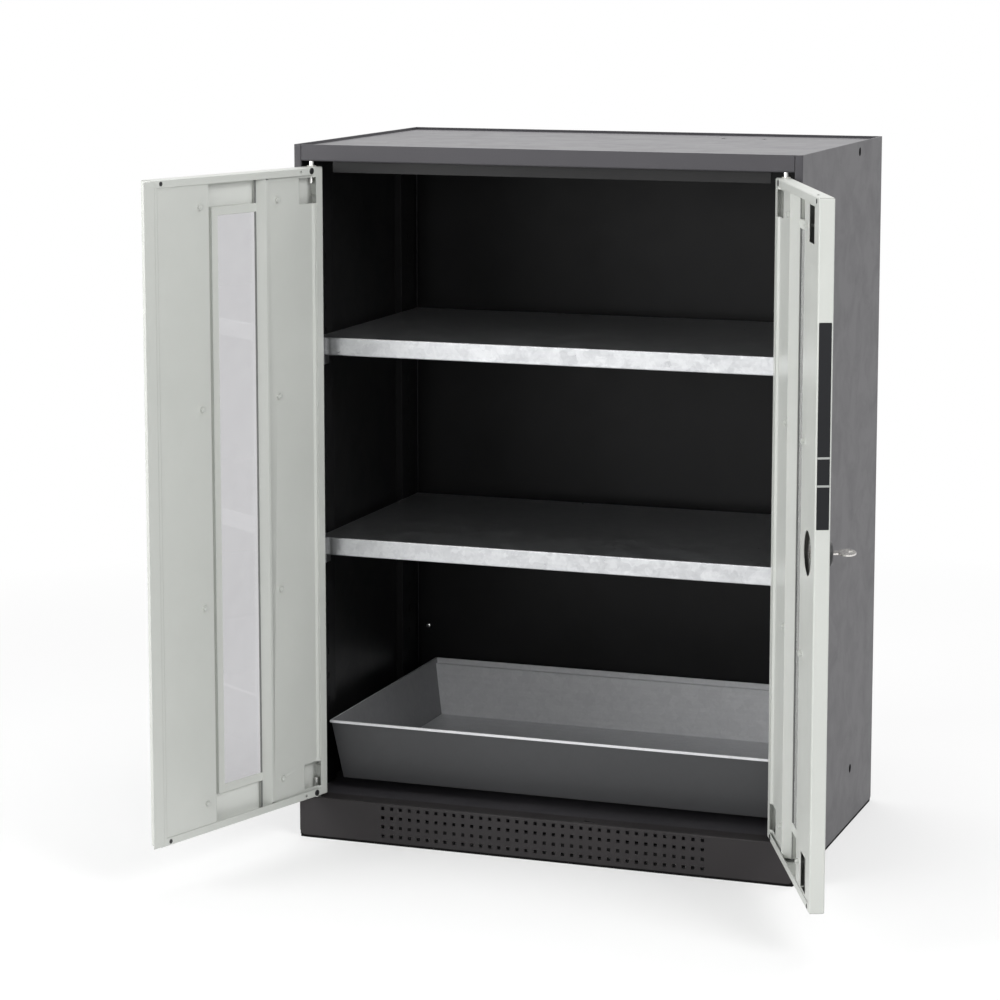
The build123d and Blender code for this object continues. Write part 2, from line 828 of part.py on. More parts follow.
# Window pane in a seal that grips its edge, on the inner face of the skin
def window(leaf):
    pane_width = window_width + 2 * pane_side_overlap
    pane_height = window_height + 2 * pane_end_overlap
    pane_v = sheet + seal_under
    with BuildPart() as pane:
        with BuildSketch(leaf.face(pane_v)):
            with Locations(leaf.on_face(window_centre, door_middle)):
                Rectangle(pane_width, pane_height)
        extrude(amount=-pane_thickness)
    save(pane, f"{leaf.name}_window_pane")
    with BuildPart() as seal:
        with BuildSketch(leaf.face(sheet)):
            with Locations(leaf.on_face(window_centre, door_middle)):
                Rectangle(pane_width + 2 * seal_edge, pane_height + 2 * seal_edge)
                Rectangle(window_width, window_height, mode=Mode.SUBTRACT)
        extrude(amount=-(seal_under + pane_thickness + seal_over))
        with BuildSketch(leaf.face(pane_v)):
            with Locations(leaf.on_face(window_centre, door_middle)):
                Rectangle(pane_width, pane_height)
        extrude(amount=-pane_thickness, mode=Mode.SUBTRACT)
    save(seal, f"{leaf.name}_window_seal")


# Welded studs with their nuts
def door_studs(leaf):
    with BuildPart() as piece:
        for column, face_v in ((stud_hinge_column, panel_v + half), (stud_free_column, cover_v + half)):
            with BuildSketch(leaf.face(sheet)):
                with Locations(leaf.on_face(column, door_middle)):
                    with GridLocations(stud_pitch, stud_pitch, 1, stud_rows):
                        RegularPolygon(stud_radius, hexagon_count)
            extrude(amount=-(face_v + nut_height + stud_tip - sheet))
            with BuildSketch(leaf.face(face_v)):
                with Locations(leaf.on_face(column, door_middle)):
                    with GridLocations(stud_pitch, stud_pitch, 1, stud_rows):
                        RegularPolygon(nut_radius, hexagon_count)
            extrude(amount=-nut_height)
    save(piece, f"{leaf.name}_door_studs")


# Brackets that stiffen the corners on the hinge side, and the bushes that turn on the pins
def hinge_fittings(leaf):
    plate = bracket_thick / 2
    with BuildPart() as brackets:
        for end in (-1, 1):
            corner_z = door_middle + end * (door_height / 2 - sheet)
            with BuildSketch(leaf.face(sheet)):
                with BuildLine():
                    Polyline(
                        leaf.on_face(sheet + bracket_length, corner_z - end * plate),
                        leaf.on_face(sheet + plate, corner_z - end * plate),
                        leaf.on_face(sheet + plate, corner_z - end * bracket_drop),
                    )
                trace(line_width=bracket_thick)
            extrude(amount=-(panel_v - half - sheet - panel_step))
        with BuildSketch(leaf.level(0)):
            RegularPolygon(bush_radius, hexagon_count)
        extrude(amount=height, mode=Mode.SUBTRACT)
    save(brackets, f"{leaf.name}_hinge_brackets")
    with BuildPart() as bushes:
        for end, edge_z in ((-1, door_bottom), (1, door_top)):
            with BuildSketch(leaf.level(edge_z)):
                RegularPolygon(bush_flange_radius, hexagon_count)
            extrude(amount=end * bush_flange)
            with BuildSketch(leaf.level(edge_z)):
                RegularPolygon(bush_radius, hexagon_count)
            extrude(amount=-end * (sheet + bracket_thick))
        with BuildSketch(leaf.level(0)):
            RegularPolygon(pin_radius + running_gap, pin_side_count, major_radius=False)
        extrude(amount=height, mode=Mode.SUBTRACT)
    save(bushes, f"{leaf.name}_hinge_bushes")


# Strip on the passive leaf that closes the gap behind the active one
def overlap_strip(leaf):
    strip_u = door_width + strip_overhang - strip_width / 2
    with BuildPart() as piece:
        with BuildSketch(leaf.face(door_depth)):
            with Locations(leaf.on_face(strip_u, door_middle)):
                Rectangle(strip_width, door_height - 2 * strip_end_gap)
        extrude(amount=-sheet)
    save(piece, f"{leaf.name}_overlap_strip")


# Rosette, lock body, turning plug with its cam, and the key
def lock(leaf):
    centre = leaf.on_face(lock_u, door_middle)
    with BuildPart() as rosette:
        with BuildSketch(leaf.face(0)):
            with Locations(centre):
                RegularPolygon(rosette_radius, round_side_count)
        extrude(amount=rosette_edge)
        with BuildSketch(leaf.face(-rosette_edge)):
            with Locations(centre):
                RegularPolygon(rosette_radius, round_side_count)
        extrude(amount=rosette_height - rosette_edge, taper=rosette_taper_angle)
        with BuildSketch(leaf.face(0)):
            with Locations(centre):
                RegularPolygon(barrel_radius, round_side_count)
        extrude(amount=rosette_height, mode=Mode.SUBTRACT)
    save(rosette, "lock_rosette")
    with BuildPart() as barrel:
        with BuildSketch(leaf.face(-barrel_front)):
            with Locations(centre):
                RegularPolygon(barrel_radius, round_side_count)
        extrude(amount=-(barrel_front + sheet))
        with BuildSketch(leaf.face(sheet)):
            with Locations(centre):
                RegularPolygon(barrel_nut_radius, hexagon_count)
        extrude(amount=-(barrel_length - barrel_front - sheet))
        with BuildSketch(leaf.face(-barrel_front)):
            with Locations(centre):
                RegularPolygon(plug_radius + running_gap, round_side_count, major_radius=False)
        extrude(amount=-barrel_length, mode=Mode.SUBTRACT)
    save(barrel, "lock_body")
    with BuildPart() as plug:
        with BuildSketch(leaf.face(-plug_front)):
            with Locations(centre):
                RegularPolygon(plug_radius, round_side_count)
        extrude(amount=-plug_length)
        with BuildSketch(leaf.face(cam_back)):
            with Locations(centre):
                Rectangle(tail_size, tail_size)
        extrude(amount=-cam_thick)
        # Neck between the rods, and the nut that keeps them on the cam's pins
        with BuildSketch(leaf.face(cam_face)):
            with Locations(centre):
                RegularPolygon(retainer_neck_radius, pin_side_count)
        extrude(amount=-(retainer_face - cam_face))
        with BuildSketch(leaf.face(retainer_face)):
            with Locations(centre):
                RegularPolygon(retainer_radius, hexagon_count)
        extrude(amount=-retainer_height)
        with BuildSketch(leaf.face(-plug_front)):
            with Locations(centre):
                Rectangle(keyway_width, keyway_height, rotation=key_tilt_angle)
        extrude(amount=-key_blade, mode=Mode.SUBTRACT)
    save(plug, "lock_plug")
    with BuildPart() as cam:
        with BuildSketch(leaf.face(cam_back)):
            with Locations(centre):
                Rectangle(cam_length, cam_width, rotation=-leaf.hand * cam_swing_angle / 2)
                Rectangle(tail_size, tail_size, mode=Mode.SUBTRACT)
        extrude(amount=-cam_thick)
        with BuildSketch(leaf.face(cam_face)):
            for rod_side in (-1, 1):
                pin_at = leaf.on_face(lock_u + rod_side * cam_reach, door_middle - rod_side * cam_throw)
                with Locations(pin_at):
                    RegularPolygon(cam_pin_radius, pin_side_count)
        extrude(amount=-cam_pin_length)
    save(cam, "lock_cam")
    # The key lies nearly flat when the lock is open. Here local y is the depth behind the door's outer face.
    axis_point = leaf.plan.from_local_coords((*leaf.at(lock_u, 0), door_middle))
    tilt = math.radians(key_tilt_angle)
    key_across = leaf.plan.x_dir * math.cos(tilt) + leaf.plan.z_dir * math.sin(tilt)
    key_normal = leaf.plan.z_dir * math.cos(tilt) - leaf.plan.x_dir * math.sin(tilt)
    flat = Plane(origin=axis_point, x_dir=key_across, z_dir=key_normal).offset(key_fit - keyway_height / 2)
    bow_v = -plug_front - key_neck - key_bow_radius
    with BuildPart() as key:
        with BuildSketch(flat):
            with Locations((0, -plug_front + (key_blade - key_fit - key_neck) / 2)):
                Rectangle(keyway_width - 2 * key_fit, key_blade - key_fit + key_neck)
            with Locations((0, -plug_front - key_fit - key_neck / 2)):
                Rectangle(key_neck_width, key_neck)
            with Locations((0, bow_v)):
                RegularPolygon(key_bow_radius, round_side_count)
            with Locations((0, bow_v - key_bow_hole_offset)):
                RegularPolygon(key_bow_hole, small_hole_side_count, mode=Mode.SUBTRACT)
        extrude(amount=keyway_height - 2 * key_fit)
    save(key, "lock_key")


# Lock rods with slotted feet on the cam's pins, and the blocks that guide them
def lock_rods(leaf):
    rod_end = door_height / 2 - rod_retract
    slot_length = 2 * cam_pin_radius + cam_pin_circle - cam_reach + 2 * rod_slot_side
    for name, rod_side in (("lock_upper_rod", 1), ("lock_lower_rod", -1)):
        rod_u = lock_u + rod_side * rod_offset
        foot_z = door_middle - rod_side * cam_throw
        with BuildPart() as rod:
            with BuildSketch(leaf.face(rod_front)):
                with Locations(leaf.on_face(rod_u, door_middle + rod_side * (rod_end - cam_throw) / 2)):
                    Rectangle(rod_width, rod_end + cam_throw)
                with Locations(leaf.on_face(rod_u, foot_z)):
                    Rectangle(rod_foot_width, rod_foot_height)
                    Rectangle(slot_length, 2 * cam_pin_radius + 2 * rod_slot_lift, mode=Mode.SUBTRACT)
            extrude(amount=-rod_thick)
        save(rod, name)
    with BuildPart() as guides:
        for rod_side in (-1, 1):
            rod_u = lock_u + rod_side * rod_offset
            for share in (guide_from_end_share, 1 - guide_from_end_share):
                guide_z = door_middle + rod_side * share * door_height / 2
                with BuildSketch(leaf.level(guide_z - guide_length / 2)):
                    with Locations(leaf.at(rod_u, (sheet + rod_front + rod_thick + guide_cap) / 2)):
                        Rectangle(guide_width, rod_front + rod_thick + guide_cap - sheet)
                    with Locations(leaf.at(rod_u, rod_middle)):
                        Rectangle(rod_width + 2 * rod_gap, rod_thick + 2 * rod_gap, mode=Mode.SUBTRACT)
                extrude(amount=guide_length)
    save(guides, "lock_rod_guides")


base_frame()
side_panel("left_side_panel", -1)
side_panel("right_side_panel", 1)
back_panel()
top_panel()
top_rail()
plinth_panel()
plinth_stiffener()
floor_pan()
for side_name, side_hand in (("left", -1), ("right", 1)):
    for place_name, place in (("front", upright_front), ("back", upright_back)):
        shelf_upright(f"{side_name}_{place_name}_upright", side_hand, place)
shelf("lower_shelf", lower_shelf_slot)
shelf("upper_shelf", upper_shelf_slot)
shelf_clips("lower_shelf_clips", lower_shelf_slot)
shelf_clips("upper_shelf_clips", upper_shelf_slot)
spill_tray()
hinge_pins()
left_leaf = Leaf("left", 1, left_open_angle)
right_leaf = Leaf("right", -1, right_open_angle)
for door in (left_leaf, right_leaf):
    active = door is right_leaf
    door_skin(door, active)
    inner_panel(door)
    door_cover(door, active)
    window(door)
    door_studs(door)
    hinge_fittings(door)
overlap_strip(left_leaf)
lock(right_leaf)
lock_rods(right_leaf)
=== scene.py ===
import bpy
import bmesh
import json
import math
from mathutils import Matrix, Vector


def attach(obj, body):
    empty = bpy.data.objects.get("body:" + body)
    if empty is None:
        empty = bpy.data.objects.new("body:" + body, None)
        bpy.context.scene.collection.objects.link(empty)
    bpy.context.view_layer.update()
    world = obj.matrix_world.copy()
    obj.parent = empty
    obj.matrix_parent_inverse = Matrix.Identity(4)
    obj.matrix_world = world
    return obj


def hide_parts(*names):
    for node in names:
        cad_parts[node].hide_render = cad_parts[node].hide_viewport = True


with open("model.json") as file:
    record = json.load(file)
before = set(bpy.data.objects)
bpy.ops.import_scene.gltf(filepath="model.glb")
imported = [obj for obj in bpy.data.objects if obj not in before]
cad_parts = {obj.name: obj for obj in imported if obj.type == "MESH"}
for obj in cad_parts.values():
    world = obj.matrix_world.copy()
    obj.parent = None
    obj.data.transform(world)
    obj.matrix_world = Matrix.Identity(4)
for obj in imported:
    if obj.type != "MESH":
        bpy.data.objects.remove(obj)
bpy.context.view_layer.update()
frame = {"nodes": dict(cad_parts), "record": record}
nodes = frame["nodes"]
print("stage 1: frame loaded,", len(nodes), "nodes")


# small helpers for node trees

def addNode(tree, kind, place, values=None, **settings):
    node = tree.nodes.new(kind)
    node.location = place
    for key, value in settings.items():
        setattr(node, key, value)
    for key, value in (values or {}).items():
        node.inputs[key].default_value = value
    return node


def startGroup(name, inputs, outputs):
    group = bpy.data.node_groups.new(name, "ShaderNodeTree")
    for label, kind, value in inputs:
        socket = group.interface.new_socket(label, in_out="INPUT", socket_type=kind)
        socket.default_value = value
    for label, kind in outputs:
        group.interface.new_socket(label, in_out="OUTPUT", socket_type=kind)
    entry = addNode(group, "NodeGroupInput", (-900, 0))
    leave = addNode(group, "NodeGroupOutput", (700, 0))
    return group, entry, leave


def placeGroup(tree, group, place, values=None):
    return addNode(tree, "ShaderNodeGroup", place, values, node_tree=group)


def mathNode(tree, operation, place, a=None, b=None, clamp=False):
    node = addNode(tree, "ShaderNodeMath", place, operation=operation, use_clamp=clamp)
    for index, part in enumerate((a, b)):
        if part is None:
            continue
        if isinstance(part, (int, float)):
            node.inputs[index].default_value = part
        else:
            tree.links.new(part, node.inputs[index])
    return node.outputs[0]


# sockets of a Mix node: factor, both sides and the result
valueMix = dict(dataType="FLOAT", sockets=(0, 2, 3), result=0)
colourMix = dict(dataType="RGBA", sockets=(0, 6, 7), result=2)


def mixNode(tree, place, kind, factor, a, b, blend="MIX"):
    node = addNode(tree, "ShaderNodeMix", place, data_type=kind["dataType"], blend_type=blend)
    for index, part in zip(kind["sockets"], (factor, a, b)):
        if isinstance(part, float):
            node.inputs[index].default_value = part
        elif isinstance(part, tuple):
            node.inputs[index].default_value = (*part, 1.0)
        else:
            tree.links.new(part, node.inputs[index])
    return node.outputs[kind["result"]]


def mixColour(tree, place, factor, a, b):
    return mixNode(tree, place, colourMix, factor, a, b)


def remap(tree, place, value, low, high, toLow=0.0, toHigh=1.0):
    # sockets 1 to 4 are the range that comes in and the range that goes out
    node = addNode(tree, "ShaderNodeMapRange", place, {1: low, 2: high, 3: toLow, 4: toHigh})
    tree.links.new(value, node.inputs[0])
    return node.outputs[0]


# shared surface effects

edgeLook = dict(
    radius=0.0008, patchiness=60.0, samples=4, bend=(0.985, 0.80), patch=(0.48, 0.66),
    noise={"Detail": 5.0, "Roughness": 0.65},
)


def buildSoftEdges(s):
    group, entry, leave = startGroup(
        "softEdges",
        [("Radius", "NodeSocketFloat", s["radius"]), ("Patchiness", "NodeSocketFloat", s["patchiness"])],
        [("Normal", "NodeSocketVector"), ("Wear", "NodeSocketFloat")],
    )
    bevel = addNode(group, "ShaderNodeBevel", (-600, 200), samples=s["samples"])
    group.links.new(entry.outputs["Radius"], bevel.inputs["Radius"])
    geometry = addNode(group, "ShaderNodeNewGeometry", (-600, 0))
    dot = addNode(group, "ShaderNodeVectorMath", (-400, 100), operation="DOT_PRODUCT")
    group.links.new(bevel.outputs[0], dot.inputs[0])
    group.links.new(geometry.outputs["Normal"], dot.inputs[1])
    edge = remap(group, (-200, 100), dot.outputs["Value"], *s["bend"])
    place = addNode(group, "ShaderNodeTexCoord", (-800, -250))
    noise = addNode(group, "ShaderNodeTexNoise", (-600, -250), s["noise"])
    group.links.new(place.outputs["Object"], noise.inputs["Vector"])
    group.links.new(entry.outputs["Patchiness"], noise.inputs["Scale"])
    patch = remap(group, (-200, -250), noise.outputs[0], *s["patch"])
    wear = mathNode(group, "MULTIPLY", (150, 0), edge, patch, clamp=True)
    group.links.new(bevel.outputs[0], leave.inputs["Normal"])
    group.links.new(wear, leave.inputs["Wear"])
    return group


grainLook = dict(
    scale=700.0, speckShare=0.35, broadShare=0.65, smudge=(0.42, 0.72),
    fine={"Detail": 3.0, "Roughness": 0.55},
    broad={"Scale": 5.0, "Detail": 4.0, "Roughness": 0.6},
    touch={"Scale": 17.0, "Detail": 7.0, "Roughness": 0.68, "Distortion": 0.6},
)


def buildPowderGrain(s):
    group, entry, leave = startGroup(
        "powderGrain",
        [("Scale", "NodeSocketFloat", s["scale"])],
        [("Height", "NodeSocketFloat"), ("Tint", "NodeSocketFloat"), ("Smudge", "NodeSocketFloat")],
    )
    place = addNode(group, "ShaderNodeTexCoord", (-800, 0))
    fine = addNode(group, "ShaderNodeTexNoise", (-550, 250), s["fine"])
    broad = addNode(group, "ShaderNodeTexNoise", (-550, 0), s["broad"])
    touch = addNode(group, "ShaderNodeTexNoise", (-550, -250), s["touch"])
    for noise in (fine, broad, touch):
        group.links.new(place.outputs["Object"], noise.inputs["Vector"])
    group.links.new(entry.outputs["Scale"], fine.inputs["Scale"])
    speck = mathNode(group, "MULTIPLY", (-300, 120), fine.outputs[0], s["speckShare"])
    cloud = mathNode(group, "MULTIPLY", (-300, 0), broad.outputs[0], s["broadShare"])
    tint = mathNode(group, "ADD", (-100, 60), cloud, speck)
    smudge = remap(group, (-250, -250), touch.outputs[0], *s["smudge"])
    group.links.new(fine.outputs[0], leave.inputs["Height"])
    group.links.new(tint, leave.inputs["Tint"])
    group.links.new(smudge, leave.inputs["Smudge"])
    return group


dustAndTopShadeLook = dict(
    amount=0.3, scale=22.0, upward=(0.55, 0.98), drift=(0.38, 0.75), noise={"Detail": 8.0, "Roughness": 0.7},
)


def buildDustAndTopShade(s):
    # dust on up-facing faces; on the doors it also darkens their top faces as painted shade
    group, entry, leave = startGroup(
        "dustAndTopShade",
        [("Amount", "NodeSocketFloat", s["amount"]), ("Scale", "NodeSocketFloat", s["scale"])],
        [("Mask", "NodeSocketFloat")],
    )
    geometry = addNode(group, "ShaderNodeNewGeometry", (-700, 150))
    axes = addNode(group, "ShaderNodeSeparateXYZ", (-500, 150))
    group.links.new(geometry.outputs["Normal"], axes.inputs[0])
    upward = remap(group, (-300, 150), axes.outputs["Z"], *s["upward"])
    place = addNode(group, "ShaderNodeTexCoord", (-700, -150))
    noise = addNode(group, "ShaderNodeTexNoise", (-500, -150), s["noise"])
    group.links.new(place.outputs["Object"], noise.inputs["Vector"])
    group.links.new(entry.outputs["Scale"], noise.inputs["Scale"])
    drift = remap(group, (-300, -150), noise.outputs[0], *s["drift"])
    mask = mathNode(group, "MULTIPLY", (0, 0), upward, drift)
    mask = mathNode(group, "MULTIPLY", (200, 0), mask, entry.outputs["Amount"], clamp=True)
    group.links.new(mask, leave.inputs["Mask"])
    return group


spangleLook = dict(
    scale=85.0, finer=2.6, largeShare=0.6, smallShare=0.4, bend=0.012, warp={"Scale": 60.0, "Detail": 2.0},
    stretch=(3.0, 160.0, 160.0), rolled={"Scale": 1.0, "Detail": 4.0, "Roughness": 0.6},
)


def buildZincSpangle(s):
    group, entry, leave = startGroup(
        "zincSpangle",
        [("Scale", "NodeSocketFloat", s["scale"])],
        [("Flake", "NodeSocketFloat"), ("Streak", "NodeSocketFloat"), ("Height", "NodeSocketFloat")],
    )
    place = addNode(group, "ShaderNodeTexCoord", (-1100, 0))
    warp = addNode(group, "ShaderNodeTexNoise", (-900, -200), s["warp"])
    group.links.new(place.outputs["Object"], warp.inputs["Vector"])
    spot, push = place.outputs["Object"], warp.outputs["Color"]
    bent = mixNode(group, (-700, 0), colourMix, s["bend"], spot, push, "LINEAR_LIGHT")
    large = addNode(group, "ShaderNodeTexVoronoi", (-450, 200))
    small = addNode(group, "ShaderNodeTexVoronoi", (-450, -50))
    for cells in (large, small):
        group.links.new(bent, cells.inputs["Vector"])
    group.links.new(entry.outputs["Scale"], large.inputs["Scale"])
    finer = mathNode(group, "MULTIPLY", (-650, -250), entry.outputs["Scale"], s["finer"])
    group.links.new(finer, small.inputs["Scale"])
    shades = [addNode(group, "ShaderNodeSeparateColor", (-250, y)) for y in (200, -50)]
    group.links.new(large.outputs["Color"], shades[0].inputs[0])
    group.links.new(small.outputs["Color"], shades[1].inputs[0])
    big = mathNode(group, "MULTIPLY", (-50, 200), shades[0].outputs[0], s["largeShare"])
    little = mathNode(group, "MULTIPLY", (-50, 0), shades[1].outputs[0], s["smallShare"])
    flake = mathNode(group, "ADD", (150, 150), big, little)
    stretch = addNode(group, "ShaderNodeMapping", (-650, -450), {"Scale": s["stretch"]})
    group.links.new(place.outputs["Object"], stretch.inputs["Vector"])
    rolled = addNode(group, "ShaderNodeTexNoise", (-450, -450), s["rolled"])
    group.links.new(stretch.outputs[0], rolled.inputs["Vector"])
    group.links.new(flake, leave.inputs["Flake"])
    group.links.new(rolled.outputs[0], leave.inputs["Streak"])
    group.links.new(large.outputs["Distance"], leave.inputs["Height"])
    return group


linesLook = dict(
    along=(900.0, 900.0, 8.0), spots=(0.45, 0.75),
    line={"Scale": 1.0, "Detail": 5.0, "Roughness": 0.7},
    stain={"Scale": 55.0, "Detail": 6.0, "Roughness": 0.65},
)


def buildDrawnLines(s):
    group, entry, leave = startGroup(
        "drawnLines",
        [("Along", "NodeSocketVector", s["along"])],
        [("Line", "NodeSocketFloat"), ("Stain", "NodeSocketFloat")],
    )
    place = addNode(group, "ShaderNodeTexCoord", (-800, 0))
    stretch = addNode(group, "ShaderNodeMapping", (-600, 100))
    group.links.new(place.outputs["Object"], stretch.inputs["Vector"])
    group.links.new(entry.outputs["Along"], stretch.inputs["Scale"])
    line = addNode(group, "ShaderNodeTexNoise", (-350, 100), s["line"])
    group.links.new(stretch.outputs[0], line.inputs["Vector"])
    stain = addNode(group, "ShaderNodeTexNoise", (-350, -150), s["stain"])
    group.links.new(place.outputs["Object"], stain.inputs["Vector"])
    group.links.new(line.outputs[0], leave.inputs["Line"])
    spots = remap(group, (0, -150), stain.outputs[0], *s["spots"])
    group.links.new(spots, leave.inputs["Stain"])
    return group


# painted shade: faces within these bounds get a near-black copy of the paint
cavity = dict(halfWidth=0.4042, front=-0.2585, back=0.2579, low=0.0672, high=1.1002)  # inside of the carcass


def buildInsideShadeMask(s):
    group, _, leave = startGroup("insideShadeMask", [], [("Mask", "NodeSocketFloat")])
    place = addNode(group, "ShaderNodeTexCoord", (-900, 0))
    axes = addNode(group, "ShaderNodeSeparateXYZ", (-700, 0))
    group.links.new(place.outputs["Object"], axes.inputs[0])
    across = mathNode(group, "ABSOLUTE", (-500, 250), axes.outputs["X"])
    tests = [
        mathNode(group, "LESS_THAN", (-300, 250), across, s["halfWidth"]),
        mathNode(group, "GREATER_THAN", (-300, 100), axes.outputs["Y"], s["front"]),
        mathNode(group, "LESS_THAN", (-300, -50), axes.outputs["Y"], s["back"]),
        mathNode(group, "GREATER_THAN", (-300, -200), axes.outputs["Z"], s["low"]),
        mathNode(group, "LESS_THAN", (-300, -350), axes.outputs["Z"], s["high"]),
    ]
    mask = tests[0]
    for step, test in enumerate(tests[1:]):
        mask = mathNode(group, "MULTIPLY", (-100 + 180 * step, 0), mask, test)
    group.links.new(mask, leave.inputs["Mask"])
    return group


def buildHollowMask():
    # inside of a folded door, between two corners given in the leaf's own directions; marks the zones where
    # light and shade are painted
    labels = ("Start", "Along", "Inward", "Low", "High")
    vectors = [(label, "NodeSocketVector", (0.0, 0.0, 0.0)) for label in labels]
    group, entry, leave = startGroup("hollowMask", vectors, [("Mask", "NodeSocketFloat")])

    def vectorNode(operation, place, a, b):
        node = addNode(group, "ShaderNodeVectorMath", place, operation=operation)
        group.links.new(a, node.inputs[0])
        group.links.new(b, node.inputs[1])
        return node.outputs["Value" if operation == "DOT_PRODUCT" else "Vector"]

    place = addNode(group, "ShaderNodeTexCoord", (-900, 300))
    reach = vectorNode("SUBTRACT", (-700, 200), place.outputs["Object"], entry.outputs["Start"])
    local = addNode(group, "ShaderNodeCombineXYZ", (-300, 200))
    for row, label in enumerate(("Along", "Inward")):
        part = vectorNode("DOT_PRODUCT", (-500, 250 - 150 * row), reach, entry.outputs[label])
        group.links.new(part, local.inputs[row])
    axes = addNode(group, "ShaderNodeSeparateXYZ", (-500, -100))
    group.links.new(reach, axes.inputs[0])
    group.links.new(axes.outputs["Z"], local.inputs[2])
    above = vectorNode("SUBTRACT", (-100, 250), local.outputs[0], entry.outputs["Low"])
    below = vectorNode("SUBTRACT", (-100, 50), entry.outputs["High"], local.outputs[0])
    room = addNode(group, "ShaderNodeSeparateXYZ", (250, 150))
    group.links.new(vectorNode("MINIMUM", (100, 150), above, below), room.inputs[0])
    least = mathNode(group, "MINIMUM", (400, 200), room.outputs["X"], room.outputs["Y"])
    least = mathNode(group, "MINIMUM", (500, 100), least, room.outputs["Z"])
    group.links.new(mathNode(group, "GREATER_THAN", (600, 0), least, 0.0), leave.inputs["Mask"])
    return group


softEdges = buildSoftEdges(edgeLook)
powderGrain = buildPowderGrain(grainLook)
dustAndTopShade = buildDustAndTopShade(dustAndTopShadeLook)
zincSpangle = buildZincSpangle(spangleLook)
drawnLines = buildDrawnLines(linesLook)
insideShadeMask = buildInsideShadeMask(cavity)
hollowMask = buildHollowMask()
print("stage 2: surface effects built")


# the two doors as they stand open: edge and depth run from the pin to the hinge edge and the outer face

rightLeaf = dict(body="right_door", hand=1, pivot=(0.3785, -0.2525), angle=113.5, edge=0.010, depth=0.0075)
leftLeaf = dict(rightLeaf, body="left_door", hand=-1, pivot=(-0.3785, -0.2525), angle=107.0)


def leafMatrix(leaf):
    # columns: along the leaf from the hinge edge, depth behind the outer face, up
    turn = math.radians(leaf["angle"])
    along = Vector((-leaf["hand"] * math.cos(turn), -math.sin(turn), 0.0))
    inward = Vector((-leaf["hand"] * math.sin(turn), math.cos(turn), 0.0))
    start = Vector((*leaf["pivot"], 0.0)) - along * leaf["edge"] - inward * leaf["depth"]
    matrix = Matrix.Identity(4)
    for column, axis in enumerate((along, inward, Vector((0, 0, 1)))):
        for row in range(3):
            matrix[row][column] = axis[row]
    matrix.translation = start
    return matrix


def leafBox(name, leaf):
    # corners of a node in its leaf's own directions
    inverse = leafMatrix(leaf).inverted()
    spots = [inverse @ vertex.co for vertex in nodes[name].data.vertices]
    return [Vector(pick(spot[axis] for spot in spots) for axis in range(3)) for pick in (min, max)]


# materials

def startMaterial(name):
    material = bpy.data.materials.new(name)
    material.use_nodes = True
    tree = material.node_tree
    tree.nodes.clear()
    shader = addNode(tree, "ShaderNodeBsdfPrincipled", (600, 0))
    output = addNode(tree, "ShaderNodeOutputMaterial", (900, 0))
    tree.links.new(shader.outputs[0], output.inputs[0])
    return material, tree, shader


def addRelief(tree, shader, height, normal, strength, depth):
    bump = addNode(tree, "ShaderNodeBump", (300, -300), {"Strength": strength, "Distance": depth})
    tree.links.new(height, bump.inputs["Height"])
    tree.links.new(normal, bump.inputs["Normal"])
    tree.links.new(bump.outputs[0], shader.inputs["Normal"])


tintRange = (0.35, 0.65)  # what the grain's tint spans over a surface
fullRange = (0.0, 1.0)


def roughAround(tree, place, value, over, rough, spread):
    return remap(tree, place, value, *over, rough + spread[0], rough + spread[1])


def enamel(name, s):
    material, tree, shader = startMaterial(name)
    grain = placeGroup(tree, powderGrain, (-900, 200), {"Scale": s["grain"]})
    edges = placeGroup(tree, softEdges, (-900, -50), {"Radius": s["edgeRadius"]})
    dustAndShade = placeGroup(tree, dustAndTopShade, (-900, -300), {"Amount": s["dustAndShade"]})
    spread = remap(tree, (-650, 250), grain.outputs["Tint"], *tintRange)
    colour = mixColour(tree, (-450, 250), spread, s["shade"], s["colour"])
    smudge = grain.outputs["Smudge"]
    rough = roughAround(tree, (-450, 0), smudge, fullRange, s["rough"], s["roughSpread"])
    # painted shade: inside the carcass the paint turns near black, with its own roughness
    if "insideShade" in s:
        inner = s["insideShade"]
        mask = placeGroup(tree, insideShadeMask, (-650, 500)).outputs["Mask"]
        insideShadeColour = mixColour(tree, (-450, 480), spread, inner["shade"], inner["colour"])
        colour = mixColour(tree, (-250, 350), mask, colour, insideShadeColour)
        innerRough = roughAround(tree, (-450, -180), smudge, fullRange, inner["rough"], inner["roughSpread"])
        rough = mixNode(tree, (-200, -50), valueMix, mask, rough, innerRough)
    # painted light and painted shade: each zone of the door's hollow gets its own flat colour
    for index, zone in enumerate(s.get("litAndShadedHollows", ())):
        matrix = leafMatrix(s["leaf"])
        values = {"Start": matrix.translation, "Along": matrix.col[0][:3], "Inward": matrix.col[1][:3]}
        values.update(Low=zone["low"], High=zone["high"])
        mask = placeGroup(tree, hollowMask, (-650, 700 + 200 * index), values).outputs["Mask"]
        colour = mixColour(tree, (-150, 500 + 200 * index), mask, colour, zone["colour"])
    worn = mathNode(tree, "MULTIPLY", (-450, -350), edges.outputs["Wear"], s["wear"])
    colour = mixColour(tree, (0, 250), worn, colour, s["bare"])
    colour = mixColour(tree, (200, 250), dustAndShade.outputs["Mask"], colour, s["dustAndShadeColour"])
    matt = mathNode(tree, "MULTIPLY", (50, -100), dustAndShade.outputs["Mask"], s["dustRough"])
    rough = mathNode(tree, "ADD", (250, 0), rough, matt)
    tree.links.new(colour, shader.inputs["Base Color"])
    tree.links.new(rough, shader.inputs["Roughness"])
    addRelief(tree, shader, grain.outputs["Height"], edges.outputs["Normal"], s["peel"], s["peelDepth"])
    shader.inputs["Specular IOR Level"].default_value = s["specular"]
    return material


